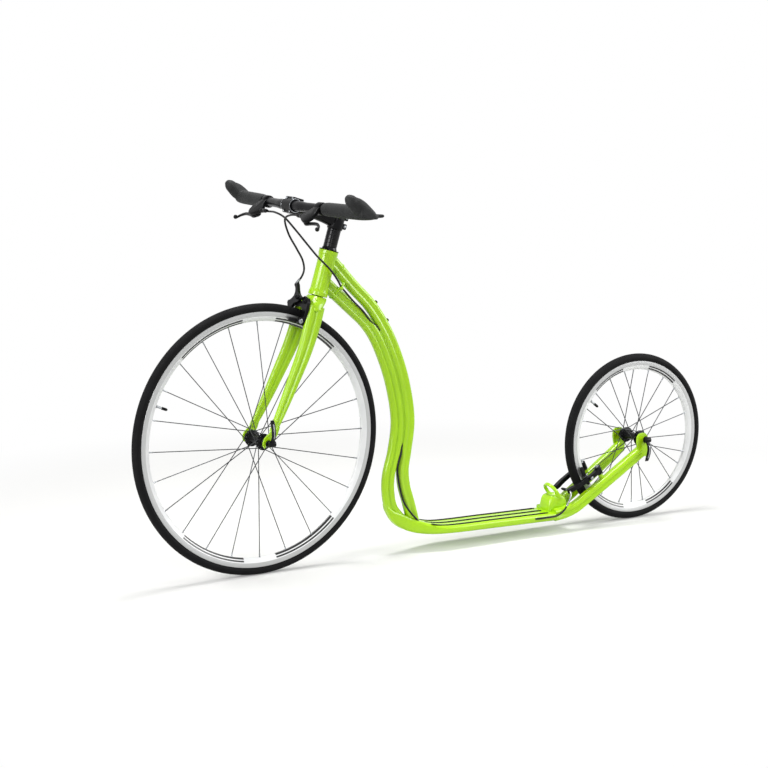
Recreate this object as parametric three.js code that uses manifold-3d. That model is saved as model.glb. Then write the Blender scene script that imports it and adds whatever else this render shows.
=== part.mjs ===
// Kick bike: a footboard scooter with a 700C front wheel and a 20 inch rear wheel.
// Millimetres, +X forward, +Y to the rider's left, +Z up.
// The origin is on the ground, halfway along the bike, in its middle plane.

import * as THREE from 'three';
import { mergeVertices } from 'three/addons/utils/BufferGeometryUtils.js';
import Module from 'manifold-3d';

const wasm = await Module();
wasm.setup();

// Driving dimensions: wheels
const WHEELBASE = 1160;
const FRONT_TYRE_RADIUS = 336; // 700 x 25C tyre on a 622 mm bead
const REAR_TYRE_RADIUS = 228; // 20 x 1 inch tyre on a 406 mm bead
const TYRE_WIDTH = 25;
const RIM_DEPTH = 24;
const RIM_WIDTH = 20;
const WHEEL_FACETS = 40;
const HUB_SPACING = 100; // between the dropouts, both ends
const AXLE_RADIUS = 4.7;
const SKEWER_RADIUS = 2.5;
const SPOKE_RADIUS = 1.1;
const FLANGE_RADIUS = 20.5;
const SPOKE_CIRCLE_RADIUS = 17.5;
const FLANGE_OFFSET = 29; // from the middle plane to a hub flange

// Driving dimensions: steering
const HEAD_ANGLE = THREE.MathUtils.degToRad(73);
const CROWN_RACE = new THREE.Vector3(355.9, 0, 678.8);
const HEAD_TUBE_LENGTH = 112;
const HEAD_TUBE_RADIUS = 22;
const STEERER_RADIUS = 14.3; // 1 1/8 inch steerer
const SPACER_TOP = 168.5;
const STEM_HEIGHT = 46;
const STEM_REACH = 134;
const BAR_HEIGHT = 195.5; // above the crown race, along the steering axis
const BAR_RADIUS = 12.7; // at the stem clamp
const BAR_END_RADIUS = 11.1;
const BAR_HALF_LENGTH = 303;
const BAR_SWEEP = 0.0727; // backward travel per millimetre of width

// Driving dimensions: frame
const TUBE_DEPTH = 32;
const TUBE_WIDTH = 25;
const DECK_HALF_WIDTH = 46;
const DECK_THICKNESS = 21;
const DECK_END = -345;
const STAY_START = -345.6;
const CABLE_RADIUS = 2.5;
const GAP = 0.4; // left between neighbouring pieces

const FRONT_HUB = new THREE.Vector3(862 - FRONT_TYRE_RADIUS, 0, FRONT_TYRE_RADIUS);
const REAR_HUB = new THREE.Vector3(FRONT_HUB.x - WHEELBASE, 0, REAR_TYRE_RADIUS);
const HEAD_TILT = HEAD_ANGLE - Math.PI / 2; // turn about Y that leans +Z back on to the steering axis

// Finishes
const finish = (color, roughness, metalness) => ({ color, roughness, metalness });
const LIME_PAINT = finish('#a9db2b', 0.3, 0);
const BLACK_ANODISED = finish('#2b2b2b', 0.45, 0.6);
const BLACK_PLASTIC = finish('#222222', 0.5, 0);
const BLACK_RUBBER = finish('#262626', 0.8, 0);
const TYRE_RUBBER = finish('#303030', 0.85, 0);
const SILVER = finish('#c9ccd0', 0.35, 0.9);
const RIM_WHITE = finish('#eef0f0', 0.4, 0.1);
const SPOKE_STEEL = finish('#55585c', 0.4, 0.8);

// Geometry helpers

const vec = (x, y, z) => new THREE.Vector3(x, y, z);

function signedVolume(points, index) {
  let volume = 0;
  for (let i = 0; i < index.length; i += 3) {
    const [a, b, c] = [points[index[i]], points[index[i + 1]], points[index[i + 2]]];
    volume += a.dot(b.clone().cross(c)) / 6;
  }
  return volume;
}

function solidGeometry(points, index) {
  if (signedVolume(points, index) < 0) index.reverse();
  const geometry = new THREE.BufferGeometry();
  geometry.setAttribute('position', new THREE.Float32BufferAttribute(points.flatMap((p) => p.toArray()), 3));
  geometry.setIndex(index);
  geometry.computeVertexNormals();
  return geometry;
}

// Joins equal rings of points into a closed skin; outline is the ring drawn flat, for the two ends.
function loft(rings, outline) {
  const count = outline.length;
  const index = [];
  for (let r = 0; r < rings.length - 1; r += 1) {
    for (let i = 0; i < count; i += 1) {
      const j = (i + 1) % count;
      const low = r * count;
      const high = low + count;
      index.push(low + i, low + j, high + j, low + i, high + j, high + i);
    }
  }
  const last = (rings.length - 1) * count;
  const turn = Math.sign(THREE.ShapeUtils.area(outline));
  THREE.ShapeUtils.triangulateShape([...outline], []).forEach((found) => {
    const along = Math.sign(THREE.ShapeUtils.area(found.map((i) => outline[i]))) === turn;
    const [a, b, c] = along ? found : found.toReversed();
    index.push(a, c, b, last + a, last + b, last + c);
  });
  return solidGeometry(rings.flat(), index);
}

function toSolid(geometry) {
  const bare = new THREE.BufferGeometry();
  bare.setAttribute('position', geometry.getAttribute('position').clone());
  if (geometry.index) bare.setIndex(geometry.index.clone());
  const merged = mergeVertices(bare, 1e-3);
  return new wasm.Manifold(new wasm.Mesh({
    numProp: 3,
    vertProperties: Float32Array.from(merged.getAttribute('position').array),
    triVerts: Uint32Array.from(merged.index.array),
  }));
}

function toGeometry(solid) {
  const mesh = solid.simplify(0.004).getMesh();
  const geometry = new THREE.BufferGeometry();
  const positions = new Float32Array(mesh.numVert * 3);
  for (let i = 0; i < mesh.numVert; i += 1) {
    for (let k = 0; k < 3; k += 1) positions[3 * i + k] = mesh.vertProperties[i * mesh.numProp + k];
  }
  geometry.setAttribute('position', new THREE.BufferAttribute(positions, 3));
  geometry.setIndex(Array.from(mesh.triVerts));
  geometry.computeVertexNormals();
  return geometry;
}

const join = (...parts) => toGeometry(parts.map(toSolid).reduce((a, b) => a.add(b)));
const cut = (body, ...tools) => toGeometry(tools.map(toSolid).reduce((a, b) => a.subtract(b), toSolid(body)));

// A round bar between two points.
function rod(from, to, radius, sides = 12, endRadius = radius) {
  const along = to.clone().sub(from);
  const geometry = new THREE.CylinderGeometry(endRadius, radius, along.length(), sides);
  const turn = new THREE.Quaternion().setFromUnitVectors(vec(0, 1, 0), along.clone().normalize());
  geometry.applyQuaternion(turn);
  const middle = from.clone().add(to).multiplyScalar(0.5);
  return geometry.translate(middle.x, middle.y, middle.z);
}

// A turned part: profile points are [radius, height] and close on themselves or on the axis.
function turned(profile, segments) {
  const closed = profile[0][0] === 0 ? profile : [...profile, profile[0]];
  const lathe = new THREE.LatheGeometry(closed.map(([r, h]) => new THREE.Vector2(r, h)), segments);
  const bare = new THREE.BufferGeometry();
  bare.setAttribute('position', lathe.getAttribute('position'));
  bare.setIndex(lathe.index);
  const merged = mergeVertices(bare, 1e-3);
  const position = merged.getAttribute('position');
  const points = Array.from({ length: position.count }, (_, i) => vec(0, 0, 0).fromBufferAttribute(position, i));
  const faces = [];
  const index = merged.index.array;
  for (let i = 0; i < index.length; i += 3) {
    const face = [index[i], index[i + 1], index[i + 2]];
    if (new Set(face).size === 3) faces.push(...face);
  }
  return solidGeometry(points, faces);
}

const turnedUp = (profile, segments) => turned(profile, segments).rotateX(Math.PI / 2);

// A flat plate: outline points are [x, z], and the plate runs from y0 to y1.
function plate(outline, y0, y1) {
  const shape = new THREE.Shape(outline.map(([x, z]) => new THREE.Vector2(x, z)));
  const geometry = new THREE.ExtrudeGeometry(shape, { depth: y1 - y0, bevelEnabled: false, curveSegments: 6 });
  return geometry.rotateX(Math.PI / 2).translate(0, y1, 0);
}

function block(sizeX, sizeY, sizeZ, x, y, z) {
  return new THREE.BoxGeometry(sizeX, sizeY, sizeZ).translate(x, y, z);
}

// A cable or bent rod of round section along a smooth route.
function cable(route, radius, steps, sides = 8) {
  const section = new THREE.Shape();
  for (let i = 0; i < sides; i += 1) {
    const angle = (2 * Math.PI * i) / sides;
    const point = [radius * Math.cos(angle), radius * Math.sin(angle)];
    if (i === 0) section.moveTo(...point);
    else section.lineTo(...point);
  }
  section.closePath();
  const extrudePath = new THREE.CatmullRomCurve3(route, false, 'centripetal');
  return new THREE.ExtrudeGeometry(section, { steps, extrudePath, bevelEnabled: false, curveSegments: 1 });
}

function mesh(name, geometry, look) {
  const made = new THREE.Mesh(geometry, new THREE.MeshStandardMaterial(look));
  made.name = name;
  return made;
}

const mirrored = (geometry) => {
  const position = geometry.getAttribute('position');
  const points = Array.from({ length: position.count }, (_, i) => vec(0, 0, 0).fromBufferAttribute(position, i));
  points.forEach((p) => p.setY(-p.y));
  const index = geometry.index ? Array.from(geometry.index.array) : points.map((_, i) => i);
  return solidGeometry(points, index);
};

// Frame tube section: [along the depth, half width], with a groove down each side

const SECTION_SIDE = [[-16, 5], [-12, 9.8], [-3.6, 10.8], [-2, 9.6], [1, 12.2], [7, 12.4], [12, 10.4], [16, 5]];
const BORE_SIDE = [[-12.2, 4], [-8.6, 7.6], [6, 9.4], [12.2, 4]];
const closedOutline = (side) => [
  ...side.map(([u, v]) => new THREE.Vector2(u, v)),
  ...side.toReversed().map(([u, v]) => new THREE.Vector2(u, -v)),
];

// A tube of one section along a line drawn in side view, as [x, z] or [x, z, y] points.
function frameTube(line, side, steps, grow = 0, last = steps) {
  const curve = new THREE.CatmullRomCurve3(line.map(([x, z, y = 0]) => vec(x, y, z)), false, 'centripetal');
  const outline = closedOutline(side);
  const rings = [];
  for (let i = 0; i <= last; i += 1) {
    const centre = curve.getPointAt(i / steps);
    const along = curve.getTangentAt(i / steps);
    const depth = vec(-along.z, 0, along.x).normalize();
    rings.push(outline.map((p) => {
      const u = p.x + grow * Math.sign(p.x);
      const v = p.y + grow * Math.sign(p.y);
      return centre.clone().addScaledVector(depth, u).add(vec(0, v, 0));
    }));
  }
  return loft(rings, outline);
}

const hollowTube = (line, steps) => cut(frameTube(line, SECTION_SIDE, steps), frameTube(line, BORE_SIDE, steps));

// Frame lines in side view, from the head tube down to the footboard

const TOUCH_SPACING = TUBE_DEPTH + 1.2;
const LOWER_TOP = [[335, 710], [314, 690], [257, 639], [222, 607]];
const LOWER_TOUCH = [[195, 572], [169, 520], [142, 442], [126, 345], [136, 266]];
const LOWER_FOOT = [[152, 206], [154, 167], [144, 120], [113, 81]];
const LOWER_LINE = [...LOWER_TOP, ...LOWER_TOUCH, ...LOWER_FOOT];

// The upper tube lies against the back of the lower one where the two touch.
function besideLowerTube(spacing) {
  const curve = new THREE.CatmullRomCurve3(LOWER_LINE.map(([x, z]) => vec(x, 0, z)), false, 'centripetal');
  const first = LOWER_TOP.length;
  return LOWER_TOUCH.map((_, i) => {
    const t = (first + i) / (LOWER_LINE.length - 1);
    const point = curve.getPoint(t);
    const along = curve.getTangent(t);
    return [point.x + along.z * spacing, point.z - along.x * spacing];
  });
}

const UPPER_LINE = [
  [325, 781], [310, 763], [258, 699], [205, 645],
  ...besideLowerTube(TOUCH_SPACING),
  [110, 221], [107, 178], [93, 130], [74, 62],
];

// The cable to the rear brake: down between the tubes, through the deck and out again beside the left stay
const REAR_CABLE_LINE = [
  [296.6, 18.4, 696.6], [286, 17.2, 686], [262, 15.6, 661], [234, 14.4, 635], [214, 12, 611],
  ...besideLowerTube(TOUCH_SPACING / 2).map(([x, z], i) => [x, [6, 0, 0, 0, 9.6][i], z]),
  [125, 12, 250], [131.4, 11, 222], [127.4, 10.4, 189], [114, 12.6, 136], [95, 17.2, 105], [71, 18, 79],
  [52, 20, 58], [0, 28, 52], [-150, 34, 49], [-240, 34.4, 48.6], [-264, 37, 48.6], [-286, 49, 49], [-312, 50, 49.4],
  [-338, 49.8, 49.6], [-354, 49.8, 54], [-366, 49.4, 61], [-375.2, 49, 70.6],
];
const CABLE_STEPS = 44;
const rearCable = (radius) => cable(REAR_CABLE_LINE.map(([x, y, z]) => vec(x, y, z)), radius, CABLE_STEPS, 6);

const STAY_STEPS = 10;
const STAY_LINE = [
  [STAY_START, 48.6, 33.4], [-375, 51.6, 33.6], [-412, 62, 34.2], [-453, 85.5, 35.6], [-510, 120.5, 38.6],
  [-563, 154, 41.6], [-626, 194, 44.5],
];

const steeringMatrix = new THREE.Matrix4()
  .makeTranslation(CROWN_RACE.x, CROWN_RACE.y, CROWN_RACE.z)
  .multiply(new THREE.Matrix4().makeRotationY(HEAD_TILT));

// The deck: a board that narrows and rises at its nose to meet the lower tube

// [x, z of the centre, half width, thickness, lean of the section in degrees]
const DECK_STATIONS = [
  [112.6, 80.6, 12.5, 32, -44], [95, 69.3, 15.5, 31.5, -26], [80, 64.8, 20, 31, -18], [60, 60.5, 29, 28, -11],
  [36, 56.6, 37, 25, -6], [0, 53.2, DECK_HALF_WIDTH, DECK_THICKNESS, -2],
  [-160, 49.2, DECK_HALF_WIDTH, DECK_THICKNESS, -1.2], [DECK_END, 45.6, DECK_HALF_WIDTH, DECK_THICKNESS, 0],
];

function deckRing([x, z, halfWidth, thickness, lean], grow, wall) {
  const half = thickness / 2 + grow - wall;
  const side = halfWidth + grow - wall;
  const corner = Math.min(6, half * 0.62);
  const flatHalf = Math.max(side - corner * 1.8, 1.2);
  const quarter = [[side, 0], [side - 1, half - corner], [side - corner * 0.8, half - 1], [flatHalf, half]];
  const upper = [...quarter, ...quarter.toReversed().map(([v, u]) => [-v, u])];
  const outline = [...upper, ...upper.toReversed().filter(([, u]) => u > 0).map(([v, u]) => [v, -u])];
  const angle = THREE.MathUtils.degToRad(lean);
  return {
    outline: outline.map(([v, u]) => new THREE.Vector2(v, u)),
    points: outline.map(([v, u]) => vec(x + u * Math.sin(angle), v, z + u * Math.cos(angle))),
  };
}

function deckLoft(grow, wall) {
  const rings = DECK_STATIONS.map((station) => deckRing(station, grow, wall));
  return loft(rings.map((ring) => ring.points), rings[5].outline);
}

function deckGeometry() {
  const hollow = deckLoft(0, 3.2);
  const cableEntry = rod(vec(86, 17.2, 95.6), vec(56, 19, 62.4), 4.2, 10);
  const cableExit = block(36, 16, 7.2, -278, 46, 48.9);
  return cut(deckLoft(0, 0), hollow, cableEntry, cableExit);
}

// Head tube with a bearing seat turned into each end

const BEARING_RADIUS = 19.6;
const BEARING_HEIGHT = 7;

function headTubeGeometry() {
  const seat = BEARING_RADIUS + GAP;
  const foot = 0.6;
  const top = HEAD_TUBE_LENGTH;
  const step = BEARING_HEIGHT + 1.4;
  return turnedUp([
    [seat, foot], [24, foot], [24, 9], [HEAD_TUBE_RADIUS, 16], [HEAD_TUBE_RADIUS, top], [seat, top],
    [seat, top - step], [17, top - step], [17, foot + step], [seat, foot + step],
  ], 24);
}

const bearingGeometry = (inner, outer, height, segments) => turnedUp([
  [inner, 0], [outer, 0], [outer, height], [inner, height],
], segments);

function headEnvelope(radius, from, to) {
  return rod(vec(0, 0, from), vec(0, 0, to), radius, 24).applyMatrix4(steeringMatrix);
}

function tubeCutForHead(line, steps) {
  const cupClearance = join(headEnvelope(24.6, HEAD_TUBE_LENGTH - 0.6, 150), headEnvelope(24.8, -30, 16.6));
  const headClearance = headEnvelope(HEAD_TUBE_RADIUS + GAP + 0.2, -30, 150);
  return cut(hollowTube(line, steps), headClearance, cupClearance, rearCable(CABLE_RADIUS + GAP));
}

// Rear dropouts, brake bosses and stays

const REAR_BRAKE_TILT = THREE.MathUtils.degToRad(27);
const REAR_PIVOT_RADIUS = 160.6; // from the hub to the brake arm pivots
const REAR_PIVOT_OFFSET = 34;
const rearBrakeMatrix = new THREE.Matrix4()
  .makeTranslation(REAR_HUB.x, REAR_HUB.y, REAR_HUB.z)
  .multiply(new THREE.Matrix4().makeRotationY(REAR_BRAKE_TILT));

function rearDropout() {
  const { x, z } = REAR_HUB;
  const inner = HUB_SPACING / 2 + GAP;
  const outline = [
    [x - 8, z - 44], [x + 8, z - 36], [x + 27, z - 20], [x + 30, z - 6], [x + 16, z + 8], [x + 11, z + 19],
    [x - 4, z + 19], [x - 9, z + 8], [x - 10, z - 6], [x - 18, z - 20],
  ];
  const slot = AXLE_RADIUS + 0.4;
  const axleSlot = [
    [x - 30, z - slot - 2], [x, z - slot], [x + slot, z - 3], [x + slot, z + 3], [x, z + slot], [x - 30, z + slot],
  ];
  return cut(plate(outline, inner - 0.4, inner + 5), plate(axleSlot, inner - 3, inner + 9));
}

function brakeBoss() {
  const foot = vec(REAR_PIVOT_RADIUS, REAR_PIVOT_OFFSET, -34);
  const shoulder = vec(REAR_PIVOT_RADIUS, REAR_PIVOT_OFFSET, -13);
  const tip = vec(REAR_PIVOT_RADIUS, REAR_PIVOT_OFFSET, 13);
  return join(rod(foot, shoulder, 6.5, 14), rod(shoulder.clone().setZ(-15), tip, 4, 14)).applyMatrix4(rearBrakeMatrix);
}

function stayGeometry() {
  const tube = frameTube(STAY_LINE, SECTION_SIDE, STAY_STEPS);
  const bore = frameTube(STAY_LINE, BORE_SIDE, STAY_STEPS, 0, STAY_STEPS - 1);
  const flushEnd = block(40, 60, 60, STAY_START + 20, 33, 50);
  return cut(join(cut(tube, bore), rearDropout(), brakeBoss()), flushEnd);
}

// Rear bracket between the stays, with an open ring on top

const RING_CENTRE = vec(-361, 0, 107);
const RING_AXIS = vec(-0.82, 0, 0.57).normalize();

function bracketGeometry() {
  const rings = [[57.6, 26, -335, -398], [80, 25, -338, -396], [96, 22, -344, -388]].map(([z, half, front, back]) => [
    vec(front, half - 7, z), vec(front - 3, half - 2, z), vec(front - 9, half, z), vec(back + 7, half, z),
    vec(back, half - 7, z), vec(back, -half + 7, z), vec(back + 7, -half, z), vec(front - 9, -half, z),
    vec(front - 3, -half + 2, z), vec(front, -half + 7, z),
  ]);
  const outline = rings[0].map((p) => new THREE.Vector2(p.x, p.y));
  const reach = RING_AXIS.clone().multiplyScalar(3);
  const from = RING_CENTRE.clone().sub(reach);
  const to = RING_CENTRE.clone().add(reach);
  const eye = rod(from.clone().sub(reach), to.clone().add(reach), 21.5, 20);
  const body = cut(join(loft(rings, outline), rod(from, to, 26, 20)), eye);
  const leftStay = frameTube(STAY_LINE, SECTION_SIDE, STAY_STEPS, GAP);
  return cut(body, leftStay, mirrored(leftStay), block(20, 80, 40, DECK_END + 5, 0, 37.4));
}

// Wheels, each drawn round its own axle along Y

function tyreGeometry(outer) {
  const half = TYRE_WIDTH / 2;
  const bead = outer - TYRE_WIDTH + 1.2;
  const wall = [[bead, 7.2], [outer - 19, 7.9], [outer - 16, half - 0.3], [outer - 5, half - 2.5]];
  const liner = [[bead, 5.2], [outer - 5.5, 6]];
  const below = (side) => side.map(([r, y]) => [r, -y]);
  return turned([...wall, [outer, 0], ...below(wall.toReversed()), ...below(liner), ...liner.toReversed()], WHEEL_FACETS);
}

function rimGeometry(outer) {
  const top = outer - TYRE_WIDTH + 5.6;
  const half = RIM_WIDTH / 2;
  const well = top - 9;
  const foot = top - RIM_DEPTH;
  return turned([
    [top, half], [top, half - 1.6], [well, half - 2.4], [well, -half + 2.4],
    [top, -half + 1.6], [top, -half], [top - 12, -half], [foot, -3], [foot, 3], [top - 12, half],
  ], WHEEL_FACETS);
}

// Spokes repeat every sixth of a turn: [angle at the rim, lean towards or against the turn], in degrees
const SPOKE_LEAN = 60;
const SPOKE_PATTERN = {
  front: { left: [[0, -1], [30, 1]], right: [[15, 1], [45, -1]] },
  rear: { left: [[19, 1], [45, -1]], right: [[4, 1], [30, -1]] },
};

function spokesGeometry(rimFoot, side, pattern) {
  const flangeY = side * FLANGE_OFFSET;
  const reach = rimFoot * Math.cos(Math.PI / WHEEL_FACETS) - 0.5;
  const parts = [turned([
    [13.4, flangeY - 1.5], [FLANGE_RADIUS, flangeY - 1.5], [FLANGE_RADIUS, flangeY + 1.5], [13.4, flangeY + 1.5],
  ], 14)];
  for (let sixth = 0; sixth < 6; sixth += 1) {
    pattern.forEach(([angle, lean]) => {
      const rimAngle = THREE.MathUtils.degToRad(60 * sixth + angle);
      const hubAngle = rimAngle + lean * THREE.MathUtils.degToRad(SPOKE_LEAN);
      const [hubX, hubZ] = [Math.cos(hubAngle), Math.sin(hubAngle)].map((v) => v * SPOKE_CIRCLE_RADIUS);
      const to = vec(reach * Math.cos(rimAngle), side * 2, reach * Math.sin(rimAngle));
      parts.push(rod(vec(hubX, flangeY + lean * 1.2, hubZ), to, SPOKE_RADIUS, 4));
    });
  }
  return join(...parts);
}

function hubGeometry() {
  const end = HUB_SPACING / 2 - 4;
  const seat = 11.4;
  const step = end - 9;
  return turned([
    [seat, -end], [12.7, -end], [12.7, -FLANGE_OFFSET + 4], [9.4, -14], [9.4, 14], [12.7, FLANGE_OFFSET - 4],
    [12.7, end], [seat, end], [seat, step], [7, step], [7, -step], [seat, -step],
  ], 18);
}

function wheel(name, hub, tyreRadius) {
  const group = new THREE.Group();
  group.position.copy(hub);
  const rimFoot = tyreRadius - TYRE_WIDTH + 5.6 - RIM_DEPTH;
  group.add(mesh(`${name}_tyre`, tyreGeometry(tyreRadius), TYRE_RUBBER));
  group.add(mesh(`${name}_rim`, rimGeometry(tyreRadius), RIM_WHITE));
  group.add(mesh(`${name}_hub`, hubGeometry(), BLACK_ANODISED));
  [['left', 1], ['right', -1]].forEach(([word, side]) => {
    group.add(mesh(`${name}_spokes_${word}`, spokesGeometry(rimFoot, side, SPOKE_PATTERN[name][word]), SPOKE_STEEL));
    const bearing = turned([[5.1, 0], [11, 0], [11, 7], [5.1, 7]], 14);
    const seatEnd = HUB_SPACING / 2 - 5;
    bearing.translate(0, side > 0 ? seatEnd - 7 : -seatEnd, 0);
    group.add(mesh(`${name}_bearing_${word}`, bearing, SILVER));
  });
  return group;
}

// Axle, skewer and quick release lever at one hub, drawn round the axle along Y

function axleGeometry() {
  const half = HUB_SPACING / 2 + 5;
  const bore = SKEWER_RADIUS + 0.4;
  const collar = HUB_SPACING / 2 - 0.4;
  const side = [[AXLE_RADIUS, collar - 3.2], [8, collar - 3], [8, collar], [AXLE_RADIUS, collar], [AXLE_RADIUS, half], [bore, half]];
  return turned([...side.toReversed().map(([r, y]) => [r, -y]), ...side], 12);
}

const QR_CAM_OFFSET = 66; // cam pin, from the middle plane

function skewerGeometry() {
  const nut = -HUB_SPACING / 2 - 6;
  const washer = HUB_SPACING / 2 + 6;
  const rodPart = rod(vec(0, nut, 0), vec(0, washer + 2, 0), SKEWER_RADIUS, 12);
  const nutPart = rod(vec(0, nut, 0), vec(0, nut - 11, 0), 8.5, 16, 7);
  const washerPart = turned([[0, washer], [8.5, washer], [8.5, washer + 4], [0, washer + 4]], 16);
  return join(rodPart, nutPart, washerPart);
}

// Cam barrel and curved handle, lying along +Z when closed; the cam turns about X.
function quickReleaseLever() {
  const barrel = rod(vec(-7, QR_CAM_OFFSET, 0), vec(7, QR_CAM_OFFSET, 0), 5, 14);
  const stations = [[0, 0, 5, 3.6], [1, 14, 5, 3], [-1, 34, 6.5, 2.4], [-4, 56, 5, 1.6]];
  const rings = stations.map(([out, z, half, thick]) => {
    const y = QR_CAM_OFFSET + out;
    return [vec(-half, y - thick, z), vec(half, y - thick, z), vec(half, y + thick, z), vec(-half, y + thick, z)];
  });
  return join(barrel, loft(rings, rings[0].map((p) => new THREE.Vector2(p.x, p.y))));
}

// Fork, in steering coordinates: X forward of the steering axis, Z up from the crown race

const FRONT_HUB_LOCAL = FRONT_HUB.clone().applyMatrix4(steeringMatrix.clone().invert());
const BRAKE_BOLT_HEIGHT = -15;
const CROWN_FOOT = -34;
const CROWN_FACE = 30.6; // flat that the front brake bolts against
const STEERER_TOP = SPACER_TOP + STEM_HEIGHT - 3;

function forkCrownGeometry() {
  const steerer = turnedUp([[12, -8], [STEERER_RADIUS, -8], [STEERER_RADIUS, STEERER_TOP], [12, STEERER_TOP]], 18);
  const race = turnedUp([[12, -10], [24, -10], [24, -1], [19, 0], [12, 0]], 18);
  const levels = [[-2, 0, 23, 23], [-12, 4, 27, 31], [-24, 11, 24, 39.5], [CROWN_FOOT, 16, 20, 42.6]];
  const square = (value) => Math.sign(value) * Math.abs(value) ** 0.72;
  const turns = Array.from({ length: 18 }, (_, i) => (2 * Math.PI * i) / 18);
  const shoulder = levels.map(([height, forward, halfDepth, halfWidth]) => turns.map((angle) => vec(
    forward + halfDepth * square(Math.cos(angle)),
    halfWidth * square(Math.sin(angle)),
    height,
  )));
  const body = join(loft(shoulder, shoulder[0].map((p) => new THREE.Vector2(p.x, p.y))), race, steerer);
  const arch = rod(vec(-40, 0, -49), vec(70, 0, -49), 18.6, 20);
  const legGap = block(110, 37, 40, 15, 0, -69);
  const boltHole = rod(vec(-60, 0, BRAKE_BOLT_HEIGHT), vec(60, 0, BRAKE_BOLT_HEIGHT), 4.5, 12);
  const brakeFace = block(30, 90, 34, CROWN_FACE + 15, 0, -17);
  const nutFace = block(30, 40, 26, -33, 0, -20);
  return cut(body, arch, legGap, boltHole, brakeFace, nutFace);
}

// [height, forward, depth, offset, width] down the blade
const BLADE_STATIONS = [
  [CROWN_FOOT - GAP, 16.3, 38.4, 31.4, 22], [-103, 16.2, 38.4, 35.6, 21.5], [-148, 20, 37.4, 38.8, 21],
  [-188, 26.6, 35.4, 41.4, 20], [-225, 33, 32.8, 43.6, 19], [-259, 38.8, 29.6, 45.6, 18], [-290, 44.6, 26.4, 47.4, 17],
  [-320, 50.6, 23, 49.4, 15.6], [-348, 57, 18.6, 51.4, 14],
];

function bladeLoft(side, stations) {
  const outline = closedOutline(side);
  const rings = stations.map(([height, forward, depth, offset, width]) => outline.map((p) => vec(
    forward + p.x * (depth / TUBE_DEPTH), offset + p.y * (width / TUBE_WIDTH), height,
  )));
  return loft(rings, outline);
}

function forkBladeGeometry() {
  const { x, z } = FRONT_HUB_LOCAL;
  const outer = [
    [x - 20, z + 40], [x - 2, z + 42], [x + 11, z + 26], [x + 15, z + 10], [x + 15, z - 6], [x + 8, z - 15],
    [x - 8, z - 15], [x - 15, z - 5], [x - 16, z + 10], [x - 22, z + 26],
  ];
  const slot = AXLE_RADIUS + 0.4;
  const axleSlot = [
    [x - slot, z - 30], [x + slot, z - 30], [x + slot, z + 2], [x + 2, z + slot], [x - 2, z + slot], [x - slot, z + 2],
  ];
  const face = HUB_SPACING / 2;
  const dropout = cut(plate(outer, face, face + 5.4), plate(axleSlot, face - 2, face + 9));
  const bore = bladeLoft(BORE_SIDE, BLADE_STATIONS.slice(0, -2));
  const blade = cut(bladeLoft(SECTION_SIDE, BLADE_STATIONS), bore);
  const collarRoom = rod(vec(x, face - 12, z), vec(x, face, z), 17, 18);
  return join(cut(blade, collarRoom), dropout);
}

// Front brake: a dual pivot caliper on the crown, drawn across the bike and extruded forward

const CALIPER_PIVOT = [24, -22];
const FRONT_PAD_RADIUS = 306;
const REAR_PAD_RADIUS = 197;
const PAD_FACE = RIM_WIDTH / 2 + 2.3;
const PAD_THICKNESS = 8;
const PAD_LENGTH = 54;
const acrossToForward = new THREE.Matrix4().makeBasis(vec(0, 1, 0), vec(0, 0, 1), vec(1, 0, 0));

function acrossPlate(outline, from, to) {
  const shape = new THREE.Shape(outline.map(([y, z]) => new THREE.Vector2(y, z)));
  const geometry = new THREE.ExtrudeGeometry(shape, { depth: to - from, bevelEnabled: false });
  return geometry.applyMatrix4(acrossToForward).translate(from, 0, 0);
}

const forwardRod = (y, z, from, to, radius, sides = 12) => rod(vec(from, y, z), vec(to, y, z), radius, sides);

function brakeBracketGeometry() {
  const [py, pz] = CALIPER_PIVOT;
  const bridge = acrossPlate([[0, -7], [py + 2, pz + 8], [py + 8, pz], [py + 2, pz - 8], [0, -24]], 31, 35.2);
  return join(
    bridge,
    forwardRod(0, BRAKE_BOLT_HEIGHT, 31, 35.2, 9),
    forwardRod(0, BRAKE_BOLT_HEIGHT, -24, 57, 4),
    forwardRod(0, BRAKE_BOLT_HEIGHT, 53.6, 58, 6.5),
    forwardRod(0, BRAKE_BOLT_HEIGHT, -25, -18.6, 6.5),
    forwardRod(py, pz, 34, 46.5, 4),
  );
}

function caliperArmLeft() {
  const outline = [
    [22, -80], [32, -80], [36, -62], [36, -32], [34, -16], [27, -11], [18, -13], [12, -22], [-12, -22.5], [-26, -15],
    [-38, -15], [-40, -24], [-30, -30], [-16, -36], [14, -36], [20, -42], [21.6, -54],
  ];
  const body = acrossPlate(outline, 36, 44);
  const head = rod(vec(41, 31.5, -72), vec(41, 36, -72), 5.5, 14);
  return cut(join(body, head), forwardRod(...CALIPER_PIVOT, 30, 50, 4.4));
}

function caliperArmRight() {
  const outline = [
    [-32, -80], [-22, -80], [-21.6, -54], [-20, -40], [-12, -27], [2, -25.6], [9, -20], [10, -11], [4, -5],
    [-8, -1], [-17, 6], [-20, 17], [-31, 17], [-31, 4], [-34, -14], [-37, -34], [-37, -62],
  ];
  const body = acrossPlate(outline, 44.6, 52.6);
  const head = rod(vec(48, -36, -72), vec(48, -31.5, -72), 5.5, 14);
  const stop = rod(vec(48, -25.6, 12), vec(48, -25.6, 22), 4.2, 12);
  return cut(join(body, head, stop), forwardRod(0, BRAKE_BOLT_HEIGHT, 30, 70, 4.4));
}

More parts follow.
